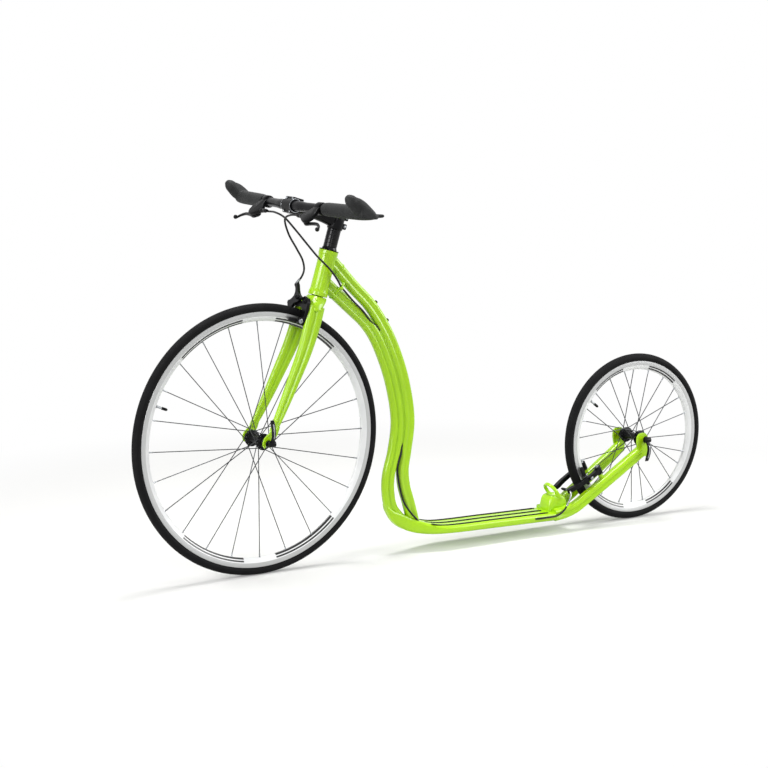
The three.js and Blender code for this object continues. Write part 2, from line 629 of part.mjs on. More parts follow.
// A curved pad in hub coordinates: X out along the spoke direction, pressed inwards along Y.
function padGeometry(radius, studEnd, studTravel) {
  const half = PAD_LENGTH / 2 / radius;
  const shape = new THREE.Shape();
  shape.absarc(0, 0, radius + 5, -half, half, false);
  shape.absarc(0, 0, radius - 5, half, -half, true);
  shape.closePath();
  const pad = new THREE.ExtrudeGeometry(shape, { depth: PAD_THICKNESS, bevelEnabled: false, curveSegments: 6 });
  pad.rotateX(Math.PI / 2).translate(0, PAD_FACE + PAD_THICKNESS, 0);
  const back = PAD_FACE + PAD_THICKNESS - 1;
  return join(pad, rod(vec(radius, back, studTravel), vec(radius, studEnd, studTravel), 5, 12));
}

function frontPad(forward) {
  const hub = FRONT_HUB_LOCAL;
  const angle = Math.atan2(-72 - hub.z, 44 - hub.x);
  return padGeometry(FRONT_PAD_RADIUS, 21.5, 44 - forward).rotateY(-angle).translate(hub.x, 0, hub.z);
}

// Rear brake: a linear pull arm on each stay, in hub coordinates, X out through the pivot

function rearArmGeometry() {
  const shape = new THREE.Shape([
    [154, 40], [153, 29], [163, 25.5], [172, 30], [186, 34.6], [215, 34], [240, 30], [258, 24], [270, 25], [271, 34],
    [242, 41], [205, 45], [180, 45], [166, 43],
  ].map(([x, y]) => new THREE.Vector2(x, y)));
  const arm = new THREE.ExtrudeGeometry(shape, { depth: 12, bevelEnabled: false }).translate(0, 0, -6);
  const barrel = rod(vec(REAR_PIVOT_RADIUS, REAR_PIVOT_OFFSET, -11), vec(REAR_PIVOT_RADIUS, REAR_PIVOT_OFFSET, 11), 9, 14);
  const bore = rod(vec(REAR_PIVOT_RADIUS, REAR_PIVOT_OFFSET, -20), vec(REAR_PIVOT_RADIUS, REAR_PIVOT_OFFSET, 20), 4.5, 14);
  const head = rod(vec(REAR_PAD_RADIUS, 44, 0), vec(REAR_PAD_RADIUS, 49, 0), 5.5, 12);
  return cut(join(arm, barrel, head), bore);
}

// The curved metal tube that leads the cable into the left arm, with its rubber boot
function noodleGeometry() {
  const route = [
    vec(-376.2, 49, 72.2), vec(-381.6, 48.8, 81.5), vec(-388, 47.6, 92.5), vec(-393.8, 42.4, 103), vec(-396.4, 34.5, 107.6),
    vec(-397.2, 24, 108), vec(-397.2, 12, 108),
  ];
  return { route, boot: rod(vec(-397.2, 14, 108), vec(-397.2, -4, 108), 4.4, 10, 3) };
}

// Handlebar, in the bike's own axes

const BAR_CENTRE = vec(STEM_REACH, 0, BAR_HEIGHT).applyMatrix4(steeringMatrix);
const BAR_STRAIGHT = 45; // half of the length that stays square to the stem

function barPoint(y, forward = 0, up = 0) {
  const swept = Math.max(0, Math.abs(y) - BAR_STRAIGHT) * BAR_SWEEP * 1.18;
  return vec(BAR_CENTRE.x - swept + forward, y, BAR_CENTRE.z + up);
}

function circleRing(centre, radius, sides) {
  return Array.from({ length: sides }, (_, i) => {
    const angle = (2 * Math.PI * i) / sides;
    return centre.clone().add(vec(radius * Math.cos(angle), 0, radius * Math.sin(angle)));
  });
}

const flat = (ring) => ring.map((p) => new THREE.Vector2(p.x, p.z));

function barGeometry() {
  const stations = [[BAR_STRAIGHT, BAR_RADIUS], [70, BAR_END_RADIUS], [BAR_HALF_LENGTH, BAR_END_RADIUS]];
  const both = [...stations.toReversed().map(([y, r]) => [-y, r]), ...stations];
  const skin = both.map(([y, r]) => circleRing(barPoint(y), r, 14));
  const bore = both.map(([y, r]) => circleRing(barPoint(y * 1.01), r - 1.8, 10));
  return cut(loft(skin, flat(skin[0])), loft(bore, flat(bore[0])));
}

// Stem, in steering coordinates

const STEM_BASE = SPACER_TOP + 0.4;
const STEM_TOP = STEM_BASE + STEM_HEIGHT;
const CLAMP_RADIUS = 17.2;
const barAlongY = (radius, half) => rod(vec(STEM_REACH, -half, BAR_HEIGHT), vec(STEM_REACH, half, BAR_HEIGHT), radius, 20);

function stemGeometry() {
  const steererClamp = rod(vec(0, 0, STEM_BASE), vec(0, 0, STEM_TOP), 19.2, 20);
  const neck = rod(vec(8, 0, 191.5), vec(STEM_REACH - 10, 0, BAR_HEIGHT - 0.5), 16, 16, 14.5);
  const ears = block(10, 22, STEM_HEIGHT - 6, -20, 0, STEM_BASE + STEM_HEIGHT / 2);
  const solid = join(steererClamp, neck, ears, barAlongY(CLAMP_RADIUS, 21));
  return cut(
    solid,
    rod(vec(0, 0, STEM_BASE - 5), vec(0, 0, STEM_TOP + 5), STEERER_RADIUS + GAP + 0.1, 20),
    block(20, 1.6, STEM_HEIGHT + 10, -22, 0, STEM_BASE + STEM_HEIGHT / 2),
    barAlongY(BAR_RADIUS + GAP + 0.1, 30),
    block(40, 60, 60, STEM_REACH + 20 - GAP, 0, BAR_HEIGHT),
  );
}

function faceplateGeometry() {
  const rearHalf = block(40, 60, 60, STEM_REACH - 20 + GAP, 0, BAR_HEIGHT);
  const shell = cut(barAlongY(CLAMP_RADIUS, 21), barAlongY(BAR_RADIUS + GAP + 0.1, 30), rearHalf);
  const lugs = [-1, 1].map((up) => block(6, 42, 4, STEM_REACH + 4, 0, BAR_HEIGHT + up * (CLAMP_RADIUS - 1)));
  return join(shell, ...lugs);
}

function topCapGeometry() {
  return turnedUp([
    [0, STEERER_TOP - 12], [11.4, STEERER_TOP - 12], [11.4, STEM_TOP + GAP], [18, STEM_TOP + GAP],
    [18, STEM_TOP + 3], [15, STEM_TOP + 5], [0, STEM_TOP + 5],
  ], 20);
}

const STEERER_BORE = STEERER_RADIUS + GAP + 0.1;
const spacersGeometry = () => turnedUp([
  [STEERER_BORE, 123.9], [17, 123.9], [17, SPACER_TOP], [STEERER_BORE, SPACER_TOP],
], 20);
const upperCupGeometry = () => turnedUp([[15.4, 112.4], [23.3, 112.4], [23.3, 116], [22.4, 117], [15.4, 117]], 20);
const topCoverGeometry = () => turnedUp([
  [STEERER_BORE, 117.4], [22, 117.4], [22, 118.6], [17.4, 123.5], [STEERER_BORE, 123.5],
], 20);

// Left grip: a palm wing behind the bar that widens outwards, and a horn rising forward at the end

const GRIP_START = 151;

function gripRing(y, radius, wing, drop) {
  const centre = barPoint(y);
  const front = [-90, -54, -18, 18, 54, 90].map((degrees) => {
    const angle = THREE.MathUtils.degToRad(degrees);
    return [radius * Math.cos(angle), radius * Math.sin(angle)];
  });
  const rear = [
    [-0.45 * wing, radius * 0.86 - drop * 0.3], [-0.8 * wing, radius * 0.5 - drop * 0.7], [-0.97 * wing, 3 - drop],
    [-wing, -1 - drop], [-0.96 * wing, -4 - drop], [-0.75 * wing, -radius * 0.45 - drop * 0.75],
    [-0.42 * wing, -radius * 0.84 - drop * 0.3],
  ];
  return [...front, ...rear].map(([x, z]) => centre.clone().add(vec(x, 0, z)));
}

function gripGeometry() {
  const stations = [
    [GRIP_START, 15, 15.6, 0], [158, 16.2, 18, 0], [185, 16.6, 24, 2], [225, 16.8, 36, 5], [262, 16.8, 50, 8],
    [290, 16.4, 58, 9.5], [308, 15, 56, 9.5], [318, 12, 44, 8],
  ];
  const rings = stations.map((station) => gripRing(...station));
  const palm = loft(rings, flat(rings[0]));
  const bore = rod(barPoint(GRIP_START - 6), barPoint(BAR_HALF_LENGTH + 1), BAR_END_RADIUS + GAP + 0.2, 14);
  const tip = [vec(428, 300, 927), vec(439, 299.5, 938), vec(447.4, 299, 946)];
  const line = [barPoint(291, -8, 1), barPoint(298, 10, 10), ...tip];
  const radii = [13, 16.2, 15.2, 13.4, 7];
  const curve = new THREE.CatmullRomCurve3(line);
  const outline = Array.from({ length: 12 }, (_, k) => new THREE.Vector2(1, 0).rotateAround(new THREE.Vector2(), (k * Math.PI) / 6));
  const hornRings = radii.map((radius, i) => {
    const up = curve.getTangent(i / (radii.length - 1)).cross(vec(0, 1, 0)).normalize();
    return outline.map((p) => line[i].clone().addScaledVector(up, radius * p.y).add(vec(0, radius * p.x, 0)));
  });
  return cut(join(palm, loft(hornRings, outline)), bore);
}

// Brake levers; the blade lies under the plane of the body and swings back towards the bar

const LEVER_PIVOT = vec(455, 120, 878);
const LEVER_AXIS = vec(0.61, 0, 0.79).normalize();
const leverPoint = (x, y, z, lift) => vec(x, y, z).addScaledVector(LEVER_AXIS, lift);

function leverBodyGeometry() {
  const clamp = rod(barPoint(124), barPoint(141), 15.5, 14);
  const arm = rod(barPoint(132, 8, 9), leverPoint(454, 122, 879, 8), 7.5, 10, 6);
  const lug = rod(leverPoint(455, 120, 878, 1.2), leverPoint(455, 120, 878, 10), 8.5, 12);
  const barrel = rod(leverPoint(455, 118, 878, 6), vec(450, 98, 886), 5, 10, 4);
  const bore = rod(barPoint(118), barPoint(147), BAR_END_RADIUS + GAP + 0.2, 14);
  return cut(join(clamp, arm, lug, barrel), bore);
}

function leverBladeGeometry() {
  const root = rod(leverPoint(455, 120, 878, 0), leverPoint(455, 120, 878, -6), 8, 12);
  const line = [vec(455, 117, 877), vec(462, 140, 874), vec(466, 165, 871), vec(467, 188, 869), vec(472.7, 205, 866)];
  const halves = [[4.2, 2.6], [3.6, 2.6], [3, 3], [3, 3], [2.4, 3]];
  const swing = vec(0, 1, 0).cross(LEVER_AXIS).normalize();
  const outline = [[-1, -1], [1, -1], [1, 1], [-1, 1]].map(([a, b]) => new THREE.Vector2(a, b));
  const rings = line.map((centre, i) => outline.map(({ x, y }) => {
    const [wide, thick] = halves[i];
    return centre.clone().addScaledVector(swing, x * wide).addScaledVector(LEVER_AXIS, y * thick - 3.2);
  }));
  const ball = new THREE.SphereGeometry(5.5, 9, 7).translate(472, 206, 864);
  return join(root, loft(rings, outline), ball);
}

// Brake cables

const FRONT_CABLE_ROUTE = [
  [449.4, 96.8, 886.2], [449, 75, 886.5], [452, 42, 885], [450, 10, 873], [432, -6, 836], [403, -17, 796],
  [382, -25, 765], [377, -28, 742], [385, -26.6, 725], [394.7, -25.6, 716],
];
const REAR_LOOP_ROUTE = [
  [449.4, -96.8, 886.2], [448, -78, 885.5], [450, -40, 886], [444, -4, 876], [427, 18, 848], [403, 29, 815],
  [373, 32, 780], [336, 31, 745], [314, 26, 719], [298.4, 18.7, 698.5],
];

// Assembly

const bike = new THREE.Group();
bike.name = 'kick_bike';
const steering = new THREE.Group();
steering.position.copy(CROWN_RACE);
steering.rotation.y = HEAD_TILT;
const rearBrake = new THREE.Group();
rearBrake.position.copy(REAR_HUB);
rearBrake.rotation.y = REAR_BRAKE_TILT;
bike.add(steering, rearBrake);

steering.add(mesh('head_tube', headTubeGeometry(), LIME_PAINT));
bike.add(mesh('upper_tube', cut(tubeCutForHead(UPPER_LINE, 20), deckLoft(GAP, 0)), LIME_PAINT));
bike.add(mesh('lower_tube', cut(tubeCutForHead(LOWER_LINE, 20), deckLoft(GAP, 0)), LIME_PAINT));
bike.add(mesh('deck', deckGeometry(), LIME_PAINT));
bike.add(mesh('rear_bracket', bracketGeometry(), LIME_PAINT));
const stay = stayGeometry();
bike.add(mesh('rear_stay_left', stay, LIME_PAINT), mesh('rear_stay_right', mirrored(stay), LIME_PAINT));
const headBearing = bearingGeometry(STEERER_RADIUS + GAP + 0.1, BEARING_RADIUS, BEARING_HEIGHT, 18);
steering.add(mesh('headset_bearing_lower', headBearing.clone().translate(0, 0, 1), SILVER));
steering.add(mesh('headset_bearing_upper', headBearing.clone().translate(0, 0, HEAD_TUBE_LENGTH - 7.8), SILVER));
steering.add(mesh('headset_cup_upper', upperCupGeometry(), BLACK_ANODISED));
steering.add(mesh('headset_top_cover', topCoverGeometry(), BLACK_ANODISED));
steering.add(mesh('headset_spacers', spacersGeometry(), BLACK_ANODISED));
steering.add(mesh('fork_crown', forkCrownGeometry(), LIME_PAINT));
const blade = forkBladeGeometry();
steering.add(mesh('fork_blade_left', blade, LIME_PAINT), mesh('fork_blade_right', mirrored(blade), LIME_PAINT));
steering.add(mesh('stem', stemGeometry(), BLACK_ANODISED));
steering.add(mesh('stem_faceplate', faceplateGeometry(), BLACK_ANODISED));
steering.add(mesh('stem_top_cap', topCapGeometry(), BLACK_ANODISED));
bike.add(mesh('handlebar', barGeometry(), BLACK_ANODISED));
const grip = gripGeometry();
bike.add(mesh('grip_left', grip, BLACK_RUBBER), mesh('grip_right', mirrored(grip), BLACK_RUBBER));
const leverBody = leverBodyGeometry();
bike.add(mesh('lever_body_left', leverBody, BLACK_ANODISED));
bike.add(mesh('lever_body_right', mirrored(leverBody), BLACK_ANODISED));
const leverBlade = leverBladeGeometry();
bike.add(mesh('brake_lever_left', leverBlade, BLACK_ANODISED));
bike.add(mesh('brake_lever_right', mirrored(leverBlade), BLACK_ANODISED));

const routePoints = (route) => route.map(([x, y, z]) => vec(x, y, z));
bike.add(mesh('front_brake_cable', cable(routePoints(FRONT_CABLE_ROUTE), CABLE_RADIUS, 22, 6), BLACK_PLASTIC));
bike.add(mesh('rear_brake_cable_loop', cable(routePoints(REAR_LOOP_ROUTE), CABLE_RADIUS, 24, 6), BLACK_PLASTIC));
bike.add(mesh('rear_brake_cable', rearCable(CABLE_RADIUS), BLACK_PLASTIC));

steering.add(mesh('front_brake_bracket', brakeBracketGeometry(), BLACK_ANODISED));
steering.add(mesh('front_brake_arm_left', caliperArmLeft(), BLACK_ANODISED));
steering.add(mesh('front_brake_arm_right', caliperArmRight(), BLACK_ANODISED));
steering.add(mesh('front_brake_pad_left', frontPad(41), BLACK_RUBBER));
steering.add(mesh('front_brake_pad_right', mirrored(frontPad(48)), BLACK_RUBBER));

const rearArm = rearArmGeometry();
const noodle = noodleGeometry();
const noodleRoom = cable(noodle.route, 3, 12, 6).applyMatrix4(rearBrakeMatrix.clone().invert());
rearBrake.add(mesh('rear_brake_arm_left', cut(rearArm, noodleRoom), BLACK_ANODISED));
rearBrake.add(mesh('rear_brake_arm_right', mirrored(rearArm), BLACK_ANODISED));
const rearPad = padGeometry(REAR_PAD_RADIUS, 34.2, 0);
rearBrake.add(mesh('rear_brake_pad_left', rearPad, BLACK_RUBBER));
rearBrake.add(mesh('rear_brake_pad_right', mirrored(rearPad), BLACK_RUBBER));
bike.add(mesh('rear_brake_noodle', join(cable(noodle.route, 2.4, 12, 6), noodle.boot), SILVER));

[['front', steering, FRONT_HUB_LOCAL, 1], ['rear', bike, REAR_HUB, -1]].forEach(([name, parent, place, up]) => {
  const group = new THREE.Group();
  group.position.copy(place);
  group.add(mesh(`${name}_axle`, axleGeometry(), SILVER));
  group.add(mesh(`${name}_skewer`, skewerGeometry(), SILVER));
  const lever = quickReleaseLever();
  if (up < 0) lever.rotateY(Math.PI);
  group.add(mesh(`${name}_quick_release_lever`, lever, BLACK_ANODISED));
  parent.add(group);
});
bike.add(wheel('front', FRONT_HUB, FRONT_TYRE_RADIUS), wheel('rear', REAR_HUB, REAR_TYRE_RADIUS));

export default bike;
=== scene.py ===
# %% [markdown]
# A kick bike, dressed for its picture.
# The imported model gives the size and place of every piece. This script builds smooth, detailed pieces
# over it, one after another, and gives each of them a finish that starts from the real material.
# Lengths are in millimetres in the row frame: +X forward, +Y to the rider's left, +Z up.

# %% Load the frame
import math
import bmesh
import bpy
import numpy as np
from mathutils import Matrix, Vector


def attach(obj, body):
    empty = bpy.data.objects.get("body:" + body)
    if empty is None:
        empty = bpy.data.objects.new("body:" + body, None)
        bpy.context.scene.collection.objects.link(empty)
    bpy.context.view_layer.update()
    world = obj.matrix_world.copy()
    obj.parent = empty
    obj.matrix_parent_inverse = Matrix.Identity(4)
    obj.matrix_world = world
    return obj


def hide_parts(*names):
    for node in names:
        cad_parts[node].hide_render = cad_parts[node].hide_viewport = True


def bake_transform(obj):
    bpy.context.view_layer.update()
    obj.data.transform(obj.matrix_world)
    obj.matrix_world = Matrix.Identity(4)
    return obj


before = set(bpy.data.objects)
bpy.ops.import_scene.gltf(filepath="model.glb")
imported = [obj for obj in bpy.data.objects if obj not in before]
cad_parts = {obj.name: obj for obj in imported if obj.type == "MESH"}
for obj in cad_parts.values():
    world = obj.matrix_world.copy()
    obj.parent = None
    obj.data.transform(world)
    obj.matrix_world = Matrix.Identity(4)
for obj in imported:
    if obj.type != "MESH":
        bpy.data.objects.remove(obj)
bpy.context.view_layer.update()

# %% [markdown]
# The camera stands where the photographer stood. Its place and turn were found by fitting both wheels,
# the footboard and the bar to the picture, so every piece lands on its own pixels.

# %% Camera
PICTURE_WIDTH = 768
FOCAL_PIXELS = 2098.3
YAW, PITCH, ROLL = -2.12046, 0.16432, -0.0019
level = math.cos(PITCH)
ahead = Vector((math.cos(YAW) * level, math.sin(YAW) * level, -math.sin(PITCH)))
side = ahead.cross(Vector((0, 0, 1))).normalized()
side = side * math.cos(ROLL) + side.cross(ahead) * math.sin(ROLL)
above = side.cross(ahead)
camera = bpy.data.objects.new("camera", bpy.data.cameras.new("camera"))
camera.data.sensor_width = 36
camera.data.lens = 36 * FOCAL_PIXELS / PICTURE_WIDTH
camera.data.clip_end = 100
turn = Matrix((side, above, -ahead)).transposed().to_4x4()
camera.matrix_world = Matrix.Translation((2.8916, 4.4518, 1.3084)) @ turn
bpy.context.scene.collection.objects.link(camera)
bpy.context.scene.camera = camera
print("lens", round(camera.data.lens, 1), "mm")

# %% [markdown]
# A finish is a tree of shader nodes. Colours are written as sRGB hex, as a paint chart gives them, and
# one function turns them to the linear numbers that Blender works in. One function adds a node, with
# its settings and with what each of its inputs holds or is linked to.

# %% Colours and nodes
def linear(hex_colour):
    parts = [int(hex_colour[i:i + 2], 16) / 255 for i in (1, 3, 5)]
    return [p / 12.92 if p <= 0.04045 else ((p + 0.055) / 1.055) ** 2.4 for p in parts] + [1]


def add_node(tree, kind, settings, inputs):
    made = tree.nodes.new("ShaderNode" + kind)
    for name, value in settings.items():
        setattr(made, name, value)
    for name, value in inputs.items():
        if isinstance(value, bpy.types.NodeSocket):
            tree.links.new(value, made.inputs[name])
        else:
            made.inputs[name].default_value = value
    return made


def new_finish(name):
    finish = bpy.data.materials.new(name)
    finish.use_nodes = True
    return finish, finish.node_tree, finish.node_tree.nodes["Principled BSDF"]


def mottled(tree, place, size_mm, dark, light):
    """A colour that drifts between two hex values in patches of that size."""
    noise = add_node(tree, "TexNoise", {}, {"Vector": place, "Scale": 1000 / size_mm, "Detail": 3})
    ramp = add_node(tree, "ValToRGB", {}, {"Fac": noise.outputs["Fac"]})
    ramp.color_ramp.elements[0].position, ramp.color_ramp.elements[1].position = 0.35, 0.65
    ramp.color_ramp.elements[0].color, ramp.color_ramp.elements[1].color = linear(dark), linear(light)
    return ramp.outputs["Color"]


def uneven(tree, place, size_mm, low, high):
    """A number, such as a roughness, that drifts between two values in patches of that size."""
    noise = add_node(tree, "TexNoise", {}, {"Vector": place, "Scale": 1000 / size_mm, "Detail": 4})
    spread = {"Value": noise.outputs["Fac"], "From Min": 0.3, "From Max": 0.7, "To Min": low, "To Max": high}
    return add_node(tree, "MapRange", {}, spread).outputs["Result"]


def reckon(tree, operation, *values):
    """One sum on numbers or node outputs, such as MULTIPLY or SINE."""
    return add_node(tree, "Math", {"operation": operation}, dict(enumerate(values))).outputs["Value"]


def bumped(tree, height, depth_mm, strength, **under):
    bump = {"Height": height, "Distance": depth_mm / 1000, "Strength": strength, **under}
    return add_node(tree, "Bump", {}, bump).outputs["Normal"]


def grain(tree, place, size_mm, strength):
    """A bump of fine rounded grains of that size, a tenth of a millimetre deep."""
    noise = add_node(tree, "TexNoise", {}, {"Vector": place, "Scale": 1000 / size_mm, "Detail": 2})
    return bumped(tree, noise.outputs["Fac"], 0.1, strength)


GLOSS_ROUGHNESS = 0.2


def plain_finish(name, dark, light, metallic, rough, patch_mm, grain_mm, grain_strength, coat=0, shine=0.5):
    """Most finishes: a colour, a roughness and a grain, each a little uneven over the surface."""
    finish, tree, skin = new_finish(name)
    place = add_node(tree, "TexCoord", {}, {}).outputs["Object"]
    tree.links.new(mottled(tree, place, patch_mm, dark, light), skin.inputs["Base Color"])
    tree.links.new(uneven(tree, place, patch_mm / 3, *rough), skin.inputs["Roughness"])
    tree.links.new(grain(tree, place, grain_mm, grain_strength), skin.inputs["Normal"])
    skin.inputs["Metallic"].default_value = metallic
    skin.inputs["Specular IOR Level"].default_value = shine
    skin.inputs["Coat Weight"].default_value = coat
    skin.inputs["Coat Roughness"].default_value = GLOSS_ROUGHNESS
    return finish


# %% [markdown]
# The frame and fork are powder coated: a polyester powder, sprayed dry and baked. It gives an even,
# glossy skin with a faint orange peel, waves of about 2 mm that soften each highlight. A clear gloss
# over a slightly rough base copies that.

# %% Lime powder coat
lime_powder_coat = plain_finish(
    "lime_powder_coat", "#9CCB09", "#A0CF0B", 0, (0.3, 0.34), 90, 2.0, 0.004, coat=0.9, shine=0.0)

# %% [markdown]
# Stem, bar, hubs and brakes are anodised aluminium: the oxide layer is dyed black and stays a little
# metallic, so its highlights are broad and grey. Lever bodies and valve caps are moulded plastic, with
# a fine spark grain. Bearings, axles and most bolts are bright steel, and the spokes are a darker one.

# %% Black parts and bright metal
black_anodised = plain_finish(
    "black_anodised_aluminium", "#0D0D0E", "#131315", 0.3, (0.26, 0.34), 30, 0.5, 0.05, shine=0.14)
black_polished = plain_finish(
    "polished_black_anodised", "#0B0B0D", "#101013", 0.3, (0.2, 0.26), 30, 2.0, 0.01, coat=0.12, shine=0.2)
black_moulded = plain_finish(
    "black_moulded_plastic", "#09090A", "#0E0E0F", 0, (0.32, 0.4), 20, 0.7, 0.08, shine=0.1)
bright_steel = plain_finish("bright_steel", "#85888B", "#9C9FA2", 1, (0.22, 0.32), 12, 0.4, 0.05)
spoke_steel = plain_finish(
    "dark_drawn_steel", "#38393B", "#444649", 0.7, (0.34, 0.44), 15, 0.5, 0.03, shine=0.3)

# %% [markdown]
# Rubber scatters light. The tyre compound is grey black and dull, the grips are softer with a fine
# moulded texture, the cable housing is a smooth sleeve of black PVC, and the strips on the footboard
# are grit glued to a tape, with grains of about 0.7 mm.

# %% Rubber, PVC and grit
grip_rubber = plain_finish(
    "moulded_grip_rubber", "#1B1C1C", "#232424", 0, (0.6, 0.75), 25, 1.1, 0.3, shine=0.25)
pad_rubber = plain_finish("brake_pad_rubber", "#121213", "#1A1A1B", 0, (0.7, 0.85), 15, 0.8, 0.3, shine=0.2)
housing_pvc = plain_finish(
    "black_pvc_housing", "#08080A", "#0E0E10", 0, (0.32, 0.42), 20, 0.6, 0.05, shine=0.25)
grit_tape = plain_finish("black_grit_tape", "#08080A", "#141415", 0, (0.85, 0.95), 3, 0.7, 0.9, shine=0.1)
for which in ("front", "rear"):
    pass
print(len(bpy.data.materials), "finishes so far")

# %% [markdown]
# Tyre and rim finishes change with the distance from the hub, so they need two numbers in every
# place: radius and turn. Both come from object coordinates, which turn with the wheel.

# %% Round coordinates
HUBS = {"front": (526.0, 0.0, 336.0), "rear": (-634.0, 0.0, 228.0)}


def round_the_hub(tree, which):
    """Radius in metres, turn from -0.5 to 0.5, and offset across the wheel, at each place."""
    place = add_node(tree, "TexCoord", {}, {}).outputs["Object"]
    hub = [v / 1000 for v in HUBS[which]]
    local = add_node(tree, "VectorMath", {"operation": "SUBTRACT"}, {0: place, 1: hub}).outputs["Vector"]
    flat = add_node(tree, "VectorMath", {"operation": "MULTIPLY"}, {0: local, 1: (1, 0, 1)})
    radius = add_node(tree, "VectorMath", {"operation": "LENGTH"}, {0: flat.outputs["Vector"]})
    parts = add_node(tree, "SeparateXYZ", {}, {"Vector": local})
    turn = reckon(tree, "ARCTAN2", parts.outputs["Z"], parts.outputs["X"])
    turns = reckon(tree, "DIVIDE", turn, 2 * math.pi)
    return place, radius.outputs["Value"], turns, parts.outputs["Y"]


def between(tree, value, low, high, edge):
    """1 where value lies from low to high and 0 elsewhere, with soft edges."""
    rise = {"Value": value, "From Min": low - edge, "From Max": low + edge}
    fall = {"Value": value, "From Min": high - edge, "From Max": high + edge, "To Min": 1, "To Max": 0}
    up = add_node(tree, "MapRange", {}, rise).outputs["Result"]
    down = add_node(tree, "MapRange", {}, fall).outputs["Result"]
    return reckon(tree, "MULTIPLY", up, down)


def any_of(tree, masks):
    """1 where any of the masks is 1."""
    found = masks[0]
    for mask in masks[1:]:
        found = reckon(tree, "MAXIMUM", found, mask)
    return found


# %% [markdown]
# The rim is an aluminium extrusion. Its two side bands, where the pads brake, are machined bare and
# carry fine turned lines; the rest is white paint, with pairs of thin black lines in short arcs.

# %% Rim finish
TYRE_RADIUS = {"front": 336.0, "rear": 228.0}
RIM_TOP = 19.4  # below the tread
RIM_DEPTH = 24.0
BRAKE_BAND = 11.5
# the middle of each arc in degrees, and how deep below the rim's top its two lines run
ARCS = {"front": (64.5, 117, -116, -63.5), "rear": (61.5, 118.5, -118, -64.5)}
ARC_HALF = {"front": 17.6, "rear": 15.2}
LINE_HALF = 2.0
LINE_DEPTHS = {"front": (15.8, 22.0), "rear": (13.2, 19.2)}
TURNED_LINE = 0.0009  # from one turned line to the next, in metres


def rim_finish(which):
    finish, tree, skin = new_finish(f"white_rim_with_machined_band_{which}")
    place, radius, turns, _ = round_the_hub(tree, which)
    top = (TYRE_RADIUS[which] - RIM_TOP) / 1000
    machined = between(tree, radius, top - BRAKE_BAND / 1000, top + 0.001, 0.0003)
    lines = any_of(tree, [between(tree, radius, top - (depth + LINE_HALF) / 1000,
                                  top - (depth - LINE_HALF) / 1000, 0.0002) for depth in LINE_DEPTHS[which]])
    half = ARC_HALF[which]
    arcs = any_of(tree, [between(tree, turns, (middle - half) / 360, (middle + half) / 360, 0.0005)
                         for middle in ARCS[which]])
    white = mottled(tree, place, 60, "#DCDDDE", "#E6E7E7")
    ink = {0: reckon(tree, "MULTIPLY", lines, arcs), 6: white, 7: linear("#161617")}
    painted = add_node(tree, "Mix", {"data_type": "RGBA"}, ink).outputs[2]
    metal = {0: machined, 6: painted, 7: linear("#B4B5B5")}
    rough = add_node(tree, "MapRange", {}, {"Value": machined, "To Min": 0.28, "To Max": 0.36})
    tree.links.new(add_node(tree, "Mix", {"data_type": "RGBA"}, metal).outputs[2], skin.inputs["Base Color"])
    tree.links.new(reckon(tree, "MULTIPLY", machined, 0.85), skin.inputs["Metallic"])
    tree.links.new(rough.outputs["Result"], skin.inputs["Roughness"])
    wave = reckon(tree, "SINE", reckon(tree, "MULTIPLY", radius, 2 * math.pi / TURNED_LINE))
    tree.links.new(bumped(tree, reckon(tree, "MULTIPLY", wave, machined), 0.04, 0.6), skin.inputs["Normal"])
    return finish


# %% [markdown]
# A slick road tyre still has a file tread: fine slanted cuts, about 3 mm apart, on its crown. The side
# walls are smooth. The tread is a bump from the turn and the offset.

# %% Tyre finish
TREAD_CUT, TREAD_SLANT = 0.0028, 0.004  # from one cut to the next, round the tyre and across it


def tyre_finish(which):
    finish, tree, skin = new_finish(f"tyre_rubber_{which}")
    place, radius, turns, offset = round_the_hub(tree, which)
    outer = TYRE_RADIUS[which] / 1000
    crown = between(tree, radius, outer - 0.0042, outer + 0.01, 0.0006)
    cuts = round(2 * math.pi * outer / TREAD_CUT)
    slant = reckon(tree, "MULTIPLY", reckon(tree, "ABSOLUTE", offset), 2 * math.pi / TREAD_SLANT)
    wave = reckon(tree, "SINE", reckon(tree, "MULTIPLY_ADD", turns, 2 * math.pi * cuts, slant))
    tread = bumped(tree, reckon(tree, "MULTIPLY", wave, crown), 0.3, 0.7, Normal=grain(tree, place, 0.9, 0.2))
    tree.links.new(mottled(tree, place, 40, "#0D0D0E", "#131314"), skin.inputs["Base Color"])
    tree.links.new(uneven(tree, place, 20, 0.62, 0.8), skin.inputs["Roughness"])
    tree.links.new(tread, skin.inputs["Normal"])
    skin.inputs["Specular IOR Level"].default_value = 0.1
    return finish


# %% [markdown]
# Most pieces of a bike are tubes, turned parts and plates. Each becomes a shape: an array of points
# and a list of faces. A curve through a few measured points gives a smooth line; rings along it,
# joined one to the next, give a skin. This is plain mesh code, and it keeps every size exact.

# %% Curves and rings
def spaced(line, count):
    """The same line with evenly spaced points."""
    line = np.asarray(line, float)
    steps = np.linalg.norm(np.diff(line, axis=0), axis=1)
    along = np.concatenate([[0], np.cumsum(steps)])
    marks = np.linspace(0, along[-1], count)
    return np.stack([np.interp(marks, along, line[:, k]) for k in range(line.shape[1])], axis=1)


